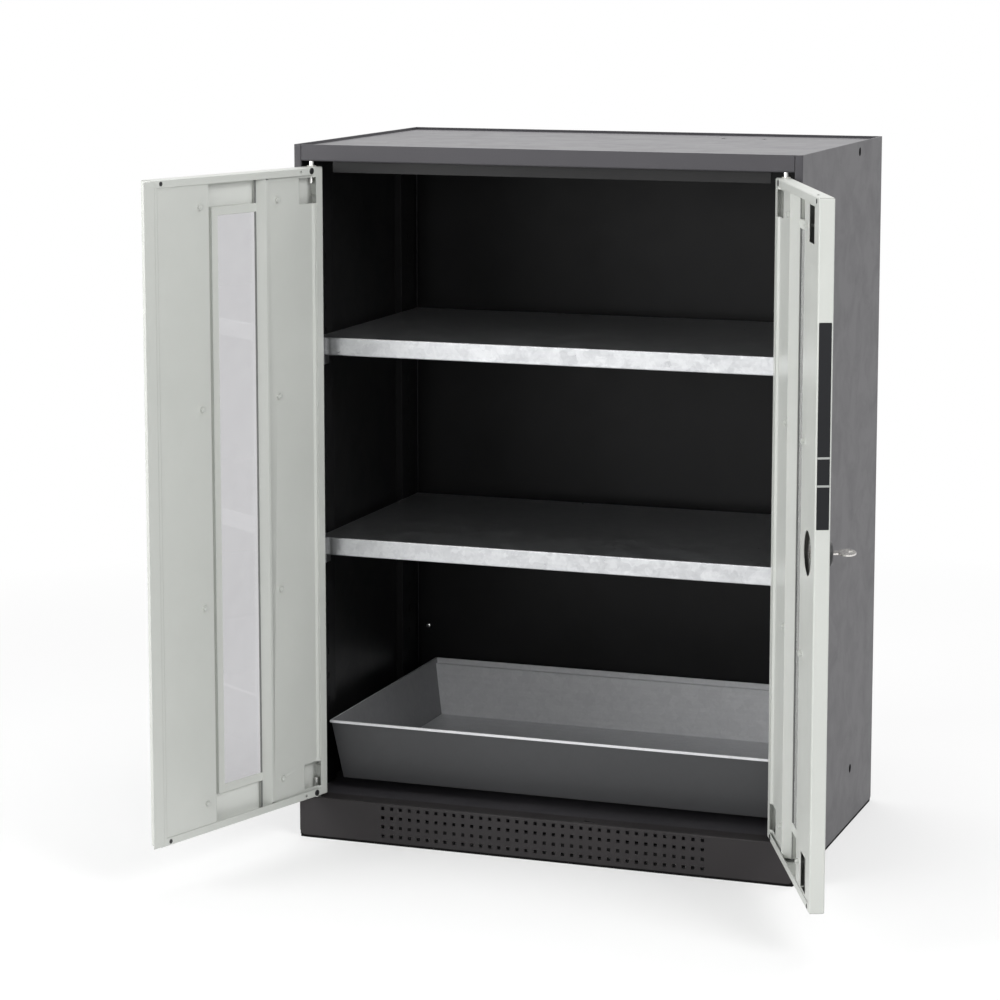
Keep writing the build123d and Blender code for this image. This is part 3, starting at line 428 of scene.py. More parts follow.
def frontShadeMask(tree, s):
    # mask of the faces that look to the front, near the front and below the given height, for painted shade
    geometry = addNode(tree, "ShaderNodeNewGeometry", (-900, 700))
    facing = addNode(tree, "ShaderNodeSeparateXYZ", (-700, 750))
    tree.links.new(geometry.outputs["Normal"], facing.inputs[0])
    place = addNode(tree, "ShaderNodeTexCoord", (-900, 550))
    axes = addNode(tree, "ShaderNodeSeparateXYZ", (-700, 550))
    tree.links.new(place.outputs["Object"], axes.inputs[0])
    mask = mathNode(tree, "LESS_THAN", (-500, 750), facing.outputs["Y"], s["facing"])
    near = mathNode(tree, "LESS_THAN", (-500, 600), axes.outputs["Y"], s["behind"])
    low = mathNode(tree, "LESS_THAN", (-500, 450), axes.outputs["Z"], s["top"])
    mask = mathNode(tree, "MULTIPLY", (-300, 650), mask, near)
    return mathNode(tree, "MULTIPLY", (-100, 600), mask, low)


def crossShadeMask(tree, s):
    # mask of the faces that look to the left or right, for painted shade
    geometry = addNode(tree, "ShaderNodeNewGeometry", (-900, 1000))
    facing = addNode(tree, "ShaderNodeSeparateXYZ", (-700, 1000))
    tree.links.new(geometry.outputs["Normal"], facing.inputs[0])
    across = mathNode(tree, "ABSOLUTE", (-500, 1000), facing.outputs["X"])
    return mathNode(tree, "GREATER_THAN", (-300, 1000), across, s["facing"])


def galvanised(name, s):
    material, tree, shader = startMaterial(name)
    spangle = placeGroup(tree, zincSpangle, (-900, 200), {"Scale": s["flakes"]})
    edges = placeGroup(tree, softEdges, (-900, -100), {"Radius": s["edgeRadius"]})
    dustAndShade = placeGroup(tree, dustAndTopShade, (-900, -350), {"Amount": s["dustAndShade"], "Scale": s["dustScale"]})
    colour = mixColour(tree, (-500, 300), spangle.outputs["Flake"], s["shade"], s["colour"])
    streaks = remap(tree, (-650, 80), spangle.outputs["Streak"], *s["streakRange"])
    streaks = mathNode(tree, "MULTIPLY", (-480, 80), streaks, s["streak"])
    colour = mixColour(tree, (-300, 250), streaks, colour, s["streakColour"])
    colour = mixColour(tree, (-50, 250), dustAndShade.outputs["Mask"], colour, s["dustAndShadeColour"])
    # painted shade: tray walls that face left or right are made darker
    if "crossShade" in s:
        colour = mixColour(tree, (150, 250), crossShadeMask(tree, s["crossShade"]), colour, s["crossShade"]["colour"])
    # painted shade: the outer front wall of the tray is made near black, standing in for the dim reflection
    # on it
    if "front" in s:
        colour = mixColour(tree, (350, 250), frontShadeMask(tree, s["front"]), colour, s["front"]["colour"])
    rough = roughAround(tree, (-450, -60), spangle.outputs["Flake"], fullRange, s["rough"], s["roughSpread"])
    matt = mathNode(tree, "MULTIPLY", (-350, -200), dustAndShade.outputs["Mask"], s["dustRough"])
    rough = mathNode(tree, "ADD", (-200, -60), rough, matt)
    tree.links.new(colour, shader.inputs["Base Color"])
    tree.links.new(rough, shader.inputs["Roughness"])
    shader.inputs["Metallic"].default_value = s["metal"]
    addRelief(tree, shader, spangle.outputs["Height"], edges.outputs["Normal"], s["relief"], s["reliefDepth"])
    return material


def brightMetal(name, s):
    material, tree, shader = startMaterial(name)
    lines = placeGroup(tree, drawnLines, (-900, 200), {"Along": s["along"]})
    edges = placeGroup(tree, softEdges, (-900, -100), {"Radius": s["edgeRadius"]})
    line = lines.outputs["Line"]
    colour = mixColour(tree, (-450, 250), line, s["shade"], s["colour"])
    stained = mathNode(tree, "MULTIPLY", (-450, 50), lines.outputs["Stain"], s["stain"])
    colour = mixColour(tree, (-200, 250), stained, colour, s["stainColour"])
    rough = roughAround(tree, (-450, -100), line, s["lineRange"], s["rough"], s["roughSpread"])
    tree.links.new(colour, shader.inputs["Base Color"])
    tree.links.new(rough, shader.inputs["Roughness"])
    shader.inputs["Metallic"].default_value = 1.0
    addRelief(tree, shader, line, edges.outputs["Normal"], s["relief"], s["reliefDepth"])
    return material


def moulded(name, s):
    material, tree, shader = startMaterial(name)
    grain = placeGroup(tree, powderGrain, (-900, 200), {"Scale": s["grain"]})
    edges = placeGroup(tree, softEdges, (-900, -100), {"Radius": s["edgeRadius"]})
    spread = remap(tree, (-650, 250), grain.outputs["Tint"], *tintRange)
    colour = mixColour(tree, (-450, 250), spread, s["shade"], s["colour"])
    worn = mathNode(tree, "MULTIPLY", (-450, 50), edges.outputs["Wear"], s["wear"])
    colour = mixColour(tree, (-200, 250), worn, colour, s["worn"])
    rough = roughAround(tree, (-450, -100), grain.outputs["Smudge"], fullRange, s["rough"], s["roughSpread"])
    tree.links.new(colour, shader.inputs["Base Color"])
    tree.links.new(rough, shader.inputs["Roughness"])
    addRelief(tree, shader, grain.outputs["Height"], edges.outputs["Normal"], s["relief"], s["reliefDepth"])
    shader.inputs["Specular IOR Level"].default_value = s["specular"]
    return material


def paneGlass(name, s):
    material, tree, shader = startMaterial(name)
    grain = placeGroup(tree, powderGrain, (-700, 100), {"Scale": s["grain"]})
    haze = roughAround(tree, (-400, 0), grain.outputs["Smudge"], fullRange, s["rough"], s["roughSpread"])
    spread = remap(tree, (-400, 250), grain.outputs["Tint"], *tintRange)
    colour = mixColour(tree, (-200, 250), spread, s["shade"], s["colour"])
    tree.links.new(colour, shader.inputs["Base Color"])
    tree.links.new(haze, shader.inputs["Roughness"])
    shader.inputs["Transmission Weight"].default_value = 1.0
    shader.inputs["IOR"].default_value = s["ior"]
    return material


carcassPaint = dict(
    colour=(0.060, 0.058, 0.064), shade=(0.056, 0.054, 0.060), bare=(0.16, 0.155, 0.15),
    rough=0.42, roughSpread=(-0.03, 0.06), specular=0.27, grain=900.0, peel=0.06, peelDepth=0.00025,
    edgeRadius=0.0009, wear=0.35, dustAndShade=0.06, dustAndShadeColour=(0.26, 0.255, 0.245), dustRough=0.5,
    # painted shade: the near-black colour that the inside faces are given
    insideShade=dict(
        colour=(0.012, 0.012, 0.0125), shade=(0.008, 0.008, 0.0085), rough=0.34, roughSpread=(-0.02, 0.08),
    ),
)
# these pieces lie wholly inside, so the painted shade covers them all over
innerPaint = dict(carcassPaint, specular=0.16)  # pieces that stand in the dark inside
# painted light: a lighter copy of the carcass paint, so that the top reads as brightly lit
litTopPaint = dict(
    carcassPaint, colour=(0.100, 0.097, 0.105), shade=(0.094, 0.091, 0.099),
    rough=0.41, specular=0.50, dustAndShade=0.03,
)
# painted shade: a darker copy of the carcass paint for the plinth, whose front stands in shade
shadedPlinthPaint = dict(carcassPaint, colour=(0.034, 0.031, 0.032), shade=(0.030, 0.028, 0.029), specular=0.16)
doorPaint = dict(
    colour=(0.560, 0.574, 0.545), shade=(0.525, 0.540, 0.512), bare=(0.42, 0.43, 0.41),
    rough=0.40, roughSpread=(-0.03, 0.06), specular=0.5, grain=800.0, peel=0.08, peelDepth=0.00025,
    # painted shade: heavy dust darker than the paint, partly real dust, partly to darken the doors' top faces
    edgeRadius=0.0009, wear=0.25, dustAndShade=0.30, dustAndShadeColour=(0.42, 0.415, 0.395), dustRough=0.5,
)
# painted light: the open recess is lighter than the door paint, to lift the shade in it
litRecess = dict(colour=(0.70, 0.715, 0.685), low=(0.0006, 0.0008, 0.0726), high=(0.2630, 0.0207, 1.0704))
# painted shade: near black on the skin inside the closed box under the lock cover
shadedUnderCover = dict(colour=(0.045, 0.045, 0.044), low=(0.2630, 0.0008, 0.0726), high=(0.3859, 0.0207, 1.0704))
# both door paints carry the painted light and shade of their hollows
leftDoorPaint = dict(doorPaint, litAndShadedHollows=(litRecess, shadedUnderCover), leaf=leftLeaf)
rightDoorPaint = dict(leftDoorPaint, leaf=rightLeaf)
# black paint of the base ring, also used as painted shade on the plinth stiffener
blackBaseAndShadePaint = dict(
    colour=(0.012, 0.012, 0.012), shade=(0.008, 0.008, 0.008), bare=(0.02, 0.02, 0.02),
    rough=0.8, roughSpread=(-0.03, 0.06), specular=0.0, grain=700.0, peel=0.15, peelDepth=0.00025,
    edgeRadius=0.0006, wear=0.2, dustAndShade=0.02, dustAndShadeColour=(0.05, 0.05, 0.05), dustRough=0.5,
)
zincSheet = dict(
    colour=(0.66, 0.67, 0.68), shade=(0.52, 0.53, 0.545), metal=1.0, flakes=85.0,
    streakColour=(0.47, 0.48, 0.49), streak=0.25, streakRange=(0.35, 0.7),
    rough=0.34, roughSpread=(-0.07, 0.07), relief=0.10, reliefDepth=0.0003, edgeRadius=0.0010,
    dustAndShade=0.10, dustScale=15.0, dustAndShadeColour=(0.42, 0.41, 0.39), dustRough=0.3,
)
trayZinc = dict(
    zincSheet, colour=(0.74, 0.745, 0.76), shade=(0.64, 0.645, 0.66), metal=0.3,
    streakColour=(0.55, 0.555, 0.565), rough=0.46, dustAndShadeColour=(0.60, 0.595, 0.585),
    # painted shade on the tray's side walls
    crossShade=dict(colour=(0.26, 0.262, 0.27), facing=0.6),
    # painted shade on the tray's outer front wall
    front=dict(colour=(0.060, 0.061, 0.064), facing=-0.6, behind=-0.15, top=0.1815),  # up to the hem
)
platedSteel = dict(
    colour=(0.74, 0.74, 0.73), shade=(0.58, 0.58, 0.57), stainColour=(0.42, 0.40, 0.36), stain=0.25,
    along=(1400.0, 1400.0, 60.0), lineRange=(0.3, 0.7), rough=0.28, roughSpread=(-0.06, 0.08),
    relief=0.12, reliefDepth=0.0001, edgeRadius=0.0004,
)
nickelPlate = dict(
    platedSteel, colour=(0.80, 0.78, 0.75), shade=(0.66, 0.645, 0.62),
    stainColour=(0.50, 0.47, 0.42), stain=0.2, along=(300.0, 300.0, 2200.0),
    rough=0.18, relief=0.08, edgeRadius=0.0003,
)
blackMoulding = dict(
    colour=(0.022, 0.022, 0.024), shade=(0.014, 0.014, 0.015), worn=(0.07, 0.07, 0.072), wear=0.3,
    rough=0.38, roughSpread=(-0.04, 0.08), specular=0.5, grain=1200.0, relief=0.15, reliefDepth=0.0002,
    edgeRadius=0.0005,
)
bushMoulding = dict(
    blackMoulding, colour=(0.66, 0.65, 0.60), shade=(0.58, 0.57, 0.53), worn=(0.5, 0.49, 0.45),
    rough=0.45, relief=0.1, edgeRadius=0.0004,
)
sealRubber = dict(
    blackMoulding, colour=(0.58, 0.595, 0.565), shade=(0.54, 0.555, 0.525), worn=(0.50, 0.51, 0.50), wear=0.2,
    rough=0.62, grain=600.0, relief=0.25,
)
clearPane = dict(
    colour=(0.665, 0.660, 0.675), shade=(0.635, 0.630, 0.645), rough=0.012, roughSpread=(0.0, 0.03),
    grain=40.0, ior=1.5,
)

materials = {
    "body_enamel": enamel("carcassEnamel", carcassPaint),
    "door_enamel": enamel("doorEnamel", doorPaint),
    "base_black": enamel("blackBaseAndShadeEnamel", blackBaseAndShadePaint),
    "galvanised": galvanised("galvanisedSheet", zincSheet),
    "bright_steel": brightMetal("platedSteel", platedSteel),
    "nickel": brightMetal("nickelPlate", nickelPlate),
    "black_plastic": moulded("blackMoulding", blackMoulding),
    "bush_plastic": moulded("bushMoulding", bushMoulding),
    "seal": moulded("sealRubber", sealRubber),
    "pane": paneGlass("paneGlass", clearPane),
}
innerEnamel = enamel("innerEnamel", innerPaint)
litTopEnamel = enamel("litTopEnamel", litTopPaint)
ownFinish = {
    "spill_tray": galvanised("trayZinc", trayZinc),
    "top_panel": litTopEnamel,
    "exhaust_knockout": litTopEnamel,
    "plinth_panel": enamel("shadedPlinthEnamel", shadedPlinthPaint),
    # painted shade: the stiffener behind the plinth holes is black, so the holes read dark
    "plinth_stiffener": materials["base_black"],
    "left_door_skin": enamel("leftDoorEnamel", leftDoorPaint),
    "right_door_skin": enamel("rightDoorEnamel", rightDoorPaint),
    "left_door_studs": materials["door_enamel"],
    "right_door_studs": materials["door_enamel"],
}
innerNames = ["back_panel", "floor_pan", "tray_support_rails"]
innerNames += [f"{side}_{end}_upright" for side in ("left", "right") for end in ("front", "back")]
for name in innerNames:
    ownFinish[name] = innerEnamel
for entry in frame["record"]["subparts"]:
    mesh = nodes[entry["node"]].data
    mesh.materials.clear()
    mesh.materials.append(ownFinish.get(entry["node"], materials[entry["material_slot"]]))
print("stage 3: materials on the frame")


# pieces that the frame leaves to the looks

def meshPiece(name, build, material, body, matrix):
    bm = bmesh.new()
    build(bm)
    bmesh.ops.transform(bm, matrix=matrix, verts=bm.verts)
    bmesh.ops.recalc_face_normals(bm, faces=bm.faces)
    mesh = bpy.data.meshes.new(name)
    bm.to_mesh(mesh)
    bm.free()
    piece = bpy.data.objects.new(name, mesh)
    bpy.context.scene.collection.objects.link(piece)
    mesh.materials.append(material)
    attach(piece, body)
    return piece


def bridge(bm, rows):
    # quads between rings of as many vertices each
    for first, second in zip(rows, rows[1:]):
        for i in range(len(first)):
            j = (i + 1) % len(first)
            bm.faces.new((first[i], first[j], second[j], second[i]))


def capped(bm, rows):
    # the same with a face at both ends
    bridge(bm, rows)
    bm.faces.new(rows[-1])
    bm.faces.new(list(reversed(rows[0])))


def cornerRing(halfWidth, halfHeight, corner, steps):
    # rectangle with round corners, as points in local X and Z
    ring = []
    for sx, sz, start in ((1, 1, 0), (-1, 1, 90), (-1, -1, 180), (1, -1, 270)):
        for step in range(steps + 1):
            turn = math.radians(start + 90 * step / steps)
            x = sx * (halfWidth - corner) + corner * math.cos(turn)
            z = sz * (halfHeight - corner) + corner * math.sin(turn)
            ring.append((x, z))
    return ring


def roundedPlate(bm, width, height, thick, corner, rimShare=0.4, steps=5):
    # plate in local X (width) and Z (height), its back on Y = 0 and its face towards +Y
    ring = cornerRing(width / 2, height / 2, corner, steps)
    rim = thick * rimShare
    rows = []
    for y, inset in ((0.0, 0.0), (thick - rim, 0.0), (thick, rim)):
        sx = 1 - 2 * inset / width
        sz = 1 - 2 * inset / height
        rows.append([bm.verts.new((x * sx, y, z * sz)) for x, z in ring])
    capped(bm, rows)


edgePlate = dict(
    along=0.3865, behind=0.011, width=0.0176, low=0.616, high=0.9015, thick=0.0005, corner=0.0012,
    lines=(0.7155, 0.6767), lineWidthShare=0.98, lineHeight=0.0030, lineThick=0.0002, lineCorner=0.0006,
    lineRiseShare=0.9,
    foil=dict(
        blackMoulding, colour=(0.0125, 0.013, 0.015), shade=(0.0095, 0.010, 0.0115), rough=0.5, specular=0.2,
    ),
    pale=dict(sealRubber, colour=(0.36, 0.37, 0.36), shade=(0.32, 0.33, 0.32), rough=0.5),
)


def addEdgePlate(s):
    # bare plate on the closing edge of the right door, crossed by two pale lines
    spin = Matrix.Rotation(math.radians(-90), 4, "Z")
    leaf = leafMatrix(rightLeaf)
    foil = moulded("edgePlateFoil", s["foil"])
    pale = moulded("edgePlateLine", s["pale"])
    middle = Vector((s["along"], s["behind"], (s["low"] + s["high"]) / 2))
    at = leaf @ Matrix.Translation(middle) @ spin
    build = lambda bm: roundedPlate(bm, s["width"], s["high"] - s["low"], s["thick"], s["corner"])
    meshPiece("edge_plate", build, foil, "right_door", at)
    lineWidth = s["width"] * s["lineWidthShare"]
    build = lambda bm: roundedPlate(bm, lineWidth, s["lineHeight"], s["lineThick"], s["lineCorner"])
    for index, z in enumerate(s["lines"]):
        spot = Vector((s["along"] + s["thick"] * s["lineRiseShare"], s["behind"], z))
        at = leaf @ Matrix.Translation(spot) @ spin
        meshPiece(f"edge_plate_line_{index + 1}", build, pale, "right_door", at)


def turned(bm, profile, steps=28, onAxis=1e-7):
    # solid of revolution about local Z from (radius, z) pairs, closed at both ends
    turns = [2 * math.pi * i / steps for i in range(steps)]
    circle = [(math.cos(turn), math.sin(turn)) for turn in turns]
    rows = []
    for radius, z in profile:
        if radius < onAxis:
            rows.append([bm.verts.new((0.0, 0.0, z))])
        else:
            rows.append([bm.verts.new((radius * x, radius * y, z)) for x, y in circle])
    for low, high in zip(rows, rows[1:]):
        for i in range(steps):
            j = (i + 1) % steps
            if len(low) == 1:
                bm.faces.new((low[0], high[j], high[i]))
            elif len(high) == 1:
                bm.faces.new((low[i], low[j], high[0]))
            else:
                bm.faces.new((low[i], low[j], high[j], high[i]))


def headProfile(radius, rise, shares):
    return [(radius * out, rise * up) for out, up in shares]


sideRivet = dict(
    radius=0.0032, rise=0.0008, face=0.405, front=-0.26, back=0.112, high=1.083,
    headShares=((0.0, 0.0), (1.0, 0.0), (1.0, 0.4), (0.75, 0.8), (0.3, 1.0), (0.0, 1.0)),
)


def addSideRivets(s):
    # low blind rivets near the front upper corner of each side, set flush into the sheet
    profile = headProfile(s["radius"], s["rise"], s["headShares"])
    build = lambda bm: turned(bm, profile)
    for name, sign in (("left", -1), ("right", 1)):
        spin = Matrix.Rotation(math.radians(90 * sign), 4, "Y")
        spot = Vector((sign * (s["face"] - s["rise"]), s["front"] + s["back"], s["high"]))
        at = Matrix.Translation(spot) @ spin
        meshPiece(f"{name}_side_rivet", build, materials["body_enamel"], "carcass", at)


panScrew = dict(
    radius=0.0042, rise=0.0024, face=0.2576, inset=0.384, high=0.239,
    headShares=((0.0, 0.0), (1.0, 0.0), (1.0, 0.35), (0.86, 0.8), (0.5, 1.0), (0.0, 1.0)),
    barLengthShare=0.9, barWidth=0.0009, barThick=0.0002, barLift=0.00005, barTurns=(20, 110),
)


def panHead(bm, s):
    turned(bm, headProfile(s["radius"], s["rise"], s["headShares"]))
    size = Matrix.Diagonal((s["radius"] * s["barLengthShare"], s["barWidth"], s["barThick"], 1.0))
    lift = Matrix.Translation(Vector((0, 0, s["rise"] + s["barLift"])))
    for turn in s["barTurns"]:
        bar = bmesh.ops.create_cube(bm, size=1.0)["verts"]
        shape = Matrix.Rotation(math.radians(turn), 4, "Z") @ lift @ size
        bmesh.ops.transform(bm, matrix=shape, verts=bar)


def addBackScrews(s):
    # pan head screws that hold the back panel, with a cross on the head
    tip = Matrix.Rotation(math.radians(90), 4, "X")
    build = lambda bm: panHead(bm, s)
    for name, sign in (("left", -1), ("right", 1)):
        at = Matrix.Translation(Vector((sign * s["inset"], s["face"], s["high"]))) @ tip
        meshPiece(f"{name}_back_screw", build, materials["bright_steel"], "carcass", at)


slimSeal = dict(edge=0.0015, lap=0.0135, round=0.0006, corner=0.0030, steps=4)


def sealRing(bm, low, high, paneTop, s):
    # gasket round the pane: an L section swept along the edge of a rectangle in local X and Z
    top = high[1]
    section = [
        (0.0, low[1]), (0.0, top - s["round"]), (s["round"], top), (s["lap"] - s["round"], top),
        (s["lap"], top - s["round"]), (s["lap"], paneTop), (s["edge"], paneTop), (s["edge"], low[1]),
    ]
    middle = (low + high) / 2
    half = (high - low) / 2
    rows = []
    for inset, depth in section:
        corner = max(s["corner"] - inset, s["round"])
        ring = cornerRing(half[0] - inset, half[2] - inset, corner, s["steps"])
        rows.append([bm.verts.new((middle[0] + x, depth, middle[2] + z)) for x, z in ring])
    bridge(bm, rows + rows[:1])


def addSlimSeals(s):
    for leaf in (leftLeaf, rightLeaf):
        side = leaf["body"].split("_")[0]
        low, high = leafBox(f"{side}_window_seal", leaf)
        paneTop = leafBox(f"{side}_window_pane", leaf)[1][1]
        build = lambda bm: sealRing(bm, low, high, paneTop, s)
        at = leafMatrix(leaf)
        seal = meshPiece(f"{side}_slim_seal", build, materials["seal"], leaf["body"], at)
        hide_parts(f"{side}_window_seal")


foldedPanel = dict(
    cut=0.1335, run=0.0075, thick=0.0013, gap=0.0001, fromEnd=0.002, skin=0.0013, weld=0.00001,
    beadWidth=0.0030, beadRise=0.0012, flatShare=0.7, edgeShare=0.6,
    # dark rubber tone of the bead, partly painted shade for the shadow line at the wall's foot
    shadeLineBead=dict(sealRubber, colour=(0.17, 0.175, 0.17), shade=(0.14, 0.145, 0.14)),
)


def sweptStrip(bm, outline, ends):
    # closed strip along local Z from an outline in local X and Y
    capped(bm, [[bm.verts.new((x, y, z)) for x, y in outline] for z in ends])


def foldPanel(bm, source, leaf, strips, s):
    # the hinge side panel up to its fold, with the wall that runs from the fold down to the pane
    bm.from_mesh(source)
    bmesh.ops.transform(bm, matrix=leafMatrix(leaf).inverted(), verts=bm.verts)
    bmesh.ops.remove_doubles(bm, verts=bm.verts, dist=s["weld"])
    parts = bm.verts[:] + bm.edges[:] + bm.faces[:]
    bmesh.ops.bisect_plane(
        bm, geom=parts, plane_co=(s["cut"], 0.0, 0.0), plane_no=(1.0, 0.0, 0.0), clear_outer=True,
    )
    bmesh.ops.holes_fill(bm, edges=[edge for edge in bm.edges if edge.is_boundary])
    for outline, ends in strips:
        sweptStrip(bm, outline, ends)


def addFoldedPanels(s):
    shadeLineRubber = moulded("shadeLineRubber", s["shadeLineBead"])
    for leaf in (leftLeaf, rightLeaf):
        side = leaf["body"].split("_")[0]
        node = f"{side}_door_inner_panel"
        low, high = leafBox(node, leaf)
        floor = leafBox(f"{side}_window_pane", leaf)[1][1] + s["gap"]
        cut, foot, top = s["cut"], s["cut"] + s["run"], high[1]
        heel = foot - s["thick"]
        ends = (low[2] + s["fromEnd"], high[2] - s["fromEnd"])
        wall = [(cut, top), (foot, floor), (heel, floor), (cut, top - s["thick"])]
        # past the window the wall goes on down to the skin
        skirt = [(foot, floor), (foot, s["skin"]), (heel, s["skin"]), (heel, floor)]
        below, above = (corner[2] for corner in leafBox(f"{side}_window_seal", leaf))
        strips = ((wall, ends), (skirt, (ends[0], below - s["gap"])), (skirt, (above + s["gap"], ends[1])))
        build = lambda bm: foldPanel(bm, nodes[node].data, leaf, strips, s)
        name, at = f"{side}_folded_panel", leafMatrix(leaf)
        panel = meshPiece(name, build, materials["door_enamel"], leaf["body"], at)
        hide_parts(node)
        # thin dark rubber bead at the foot of the wall; its dark tone partly stands in for the shadow line
        # there, painted shade
        width, rise = s["beadWidth"], s["beadRise"]
        shadeLineBead = [
            (foot, floor), (foot + width, floor), (foot + width, floor + rise * s["edgeShare"]),
            (foot + width * s["flatShare"], floor + rise), (foot, floor + rise),
        ]
        build = lambda bm: sweptStrip(bm, shadeLineBead, ends)
        meshPiece(f"{side}_pane_shade_line_bead", build, shadeLineRubber, leaf["body"], at)


lipPlugs = dict(
    face=0.022, ends=dict(lower=0.072, upper=1.071), fromEnd=0.006, depth=0.002,
    headShares=((1.0, 0.0), (1.0, 0.45), (0.86, 0.85), (0.5, 1.0), (0.0, 1.0)),
    kinds=(
        dict(name="hinge", along=0.027, radius=0.0050, shank=0.0036, rise=0.0012),
        dict(name="corner", along=0.3665, radius=0.0034, shank=0.0026, rise=0.0008),
    ),
)


def addLipPlugs(s):
    # black push-in plugs in the round holes of the folded lips, on the inner face of each door
    tip = Matrix.Rotation(math.radians(-90), 4, "X")
    for leaf in (leftLeaf, rightLeaf):
        for end, sign in (("lower", 1), ("upper", -1)):
            for kind in s["kinds"]:
                profile = [(0.0, -s["depth"]), (kind["shank"], -s["depth"]), (kind["shank"], 0.0)]
                profile += headProfile(kind["radius"], kind["rise"], s["headShares"])
                build = lambda bm: turned(bm, profile)
                spot = Vector((kind["along"], s["face"], s["ends"][end] + sign * s["fromEnd"]))
                at = leafMatrix(leaf) @ Matrix.Translation(spot) @ tip
                name = f"{leaf['body']}_{end}_{kind['name']}_plug"
                meshPiece(name, build, materials["black_plastic"], leaf["body"], at)


addSlimSeals(slimSeal)
addFoldedPanels(foldedPanel)
addLipPlugs(lipPlugs)
addEdgePlate(edgePlate)
addSideRivets(sideRivet)
addBackScrews(panScrew)
print("stage 4: added pieces in place")


# floor, light and camera

studio = dict(
    floorSize=14.0, floorColour=(0.98, 0.98, 0.98), whiteShare=0.45, fade=(0.9, 2.4), footprint=(0.40, 0.255),
    worldLight=0.42,
)


def seenDirectly(tree):
    # what the camera, mirrors and glass see, as against the light that falls on the part
    rays = addNode(tree, "ShaderNodeLightPath", (-600, 300))
    camera, glossy, glass = (rays.outputs[f"Is {kind} Ray"] for kind in ("Camera", "Glossy", "Transmission"))
    seen = mathNode(tree, "MAXIMUM", (-350, 300), camera, glossy)
    return mathNode(tree, "MAXIMUM", (-200, 250), seen, glass)


def addFloor(s):
    bm = bmesh.new()
    bmesh.ops.create_grid(bm, x_segments=2, y_segments=2, size=s["floorSize"])
    mesh = bpy.data.meshes.new("studio_floor")
    bm.to_mesh(mesh)
    bm.free()
    floor = bpy.data.objects.new("studio_floor", mesh)
    bpy.context.scene.collection.objects.link(floor)
    material = bpy.data.materials.new("studioFloor")
    material.use_nodes = True
    tree = material.node_tree
    tree.nodes.clear()
    diffuse = addNode(tree, "ShaderNodeBsdfDiffuse", (0, 150), {"Color": (*s["floorColour"], 1.0)})
    white = addNode(tree, "ShaderNodeEmission", (0, -50), {"Color": (1, 1, 1, 1), "Strength": 1.0})
    seen = seenDirectly(tree)
    # whiter with distance, so that no horizon shows, and plain under the cabinet
    place = addNode(tree, "ShaderNodeTexCoord", (-900, 600))
    reach = addNode(tree, "ShaderNodeVectorMath", (-650, 700), operation="LENGTH")
    tree.links.new(place.outputs["Object"], reach.inputs[0])
    spread = remap(tree, (-400, 700), reach.outputs["Value"], *s["fade"], s["whiteShare"], 1.0)
    axes = addNode(tree, "ShaderNodeSeparateXYZ", (-650, 520))
    tree.links.new(place.outputs["Object"], axes.inputs[0])
    outside = []
    for axis, limit in zip(("X", "Y"), s["footprint"]):
        distance = mathNode(tree, "ABSOLUTE", (-450, 520), axes.outputs[axis])
        outside.append(mathNode(tree, "GREATER_THAN", (-300, 520), distance, limit))
    clear = mathNode(tree, "MAXIMUM", (-150, 520), *outside)
    share = mathNode(tree, "MULTIPLY", (-50, 450), seen, clear)
    share = mathNode(tree, "MULTIPLY", (0, 320), share, spread)
    mix = addNode(tree, "ShaderNodeMixShader", (250, 0))
    tree.links.new(share, mix.inputs[0])
    tree.links.new(diffuse.outputs[0], mix.inputs[1])
    tree.links.new(white.outputs[0], mix.inputs[2])
    output = addNode(tree, "ShaderNodeOutputMaterial", (450, 0))
    tree.links.new(mix.outputs[0], output.inputs[0])
    mesh.materials.append(material)


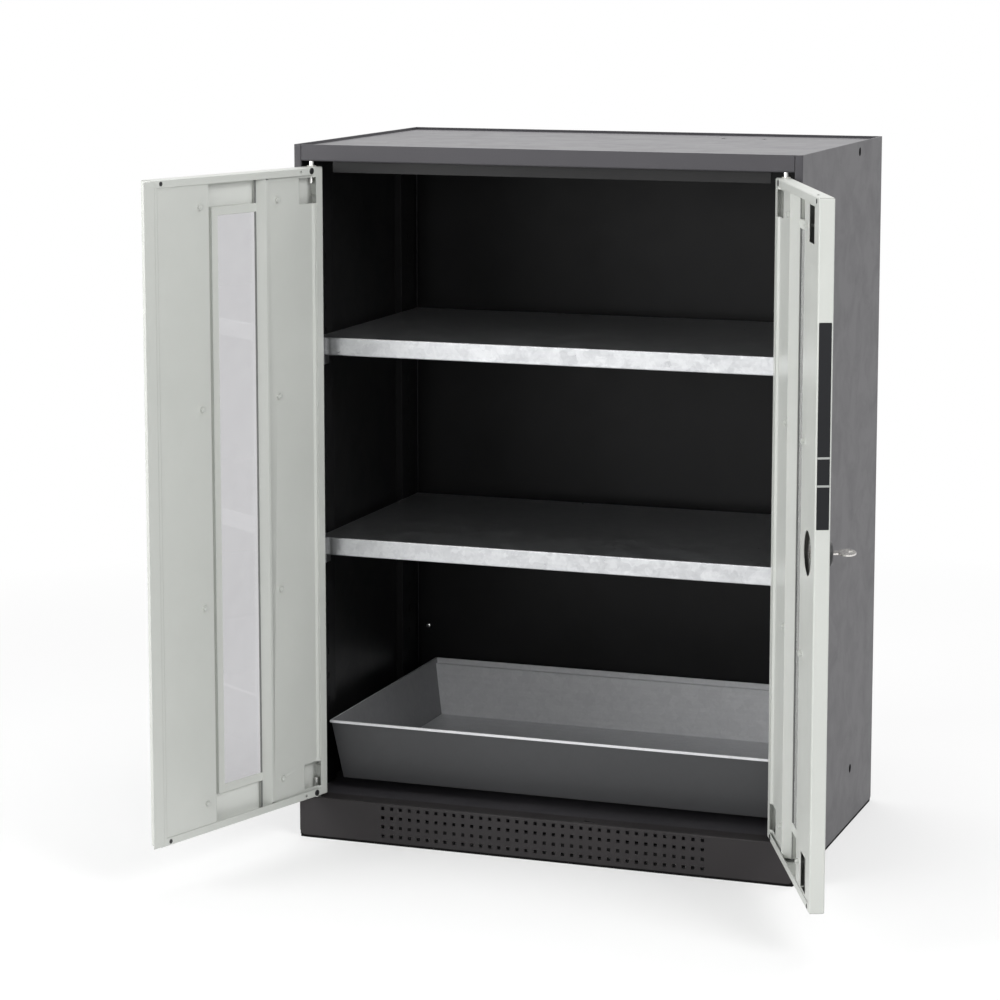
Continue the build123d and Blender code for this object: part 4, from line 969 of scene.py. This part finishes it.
def addWorld(s):
    world = bpy.data.worlds.new("studioWorld")
    bpy.context.scene.world = world
    world.use_nodes = True
    tree = world.node_tree
    tree.nodes.clear()
    strength = remap(tree, (0, 200), seenDirectly(tree), *fullRange, s["worldLight"], 1.0)
    background = addNode(tree, "ShaderNodeBackground", (200, 100), {"Color": (1, 1, 1, 1)})
    tree.links.new(strength, background.inputs["Strength"])
    output = addNode(tree, "ShaderNodeOutputWorld", (400, 100))
    tree.links.new(background.outputs[0], output.inputs[0])


lamps = [
    dict(name="keySoftbox", at=(3.3, -2.3, 2.8), aim=(0.1, -0.1, 0.55), size=(1.8, 1.8), power=78.0),
    dict(name="leftSoftbox", at=(-2.6, -2.4, 1.7), aim=(0.0, -0.2, 0.6), size=(1.6, 2.2), power=50.0),
    dict(name="frontSoftbox", at=(-2.6, -3.7, 1.2), aim=(0.0, -0.1, 0.4), size=(1.4, 1.4), power=32.0),
    dict(name="fillSoftbox", at=(0.2, -5.0, 1.6), aim=(0.1, -0.1, 0.4), size=(1.2, 1.2), power=25.0),
    dict(name="topSoftbox", at=(0.1, 0.6, 3.4), aim=(0.0, 0.1, 0.0), size=(2.6, 2.6), power=58.0),
]


def aimAt(piece, start, target):
    piece.location = start
    piece.rotation_euler = (Vector(target) - Vector(start)).to_track_quat("-Z", "Y").to_euler()


def addLamps(rows):
    for s in rows:
        lamp = bpy.data.lights.new(s["name"], "AREA")
        lamp.shape = "RECTANGLE"
        lamp.size, lamp.size_y = s["size"]
        lamp.energy = s["power"]
        piece = bpy.data.objects.new(s["name"], lamp)
        bpy.context.scene.collection.objects.link(piece)
        aimAt(piece, s["at"], s["aim"])


viewpoint = dict(
    at=(1.5168, -4.6572, 1.3927), yaw=0.3454, pitch=-0.1427,
    lens=111.115, sensor=36.0, shift=-0.1, farClip=60.0,
)


def addCamera(s):
    camera = bpy.data.cameras.new("viewCamera")
    camera.sensor_width = s["sensor"]
    camera.lens = s["lens"]
    camera.shift_y = s["shift"]
    camera.clip_end = s["farClip"]
    piece = bpy.data.objects.new("viewCamera", camera)
    bpy.context.scene.collection.objects.link(piece)
    piece.location = s["at"]
    piece.rotation_euler = (math.pi / 2 + s["pitch"], 0.0, s["yaw"])
    bpy.context.scene.camera = piece


addFloor(studio)
addWorld(studio)
addLamps(lamps)
addCamera(viewpoint)
bpy.context.scene.view_settings.view_transform = "Standard"
print("stage 5: studio ready")
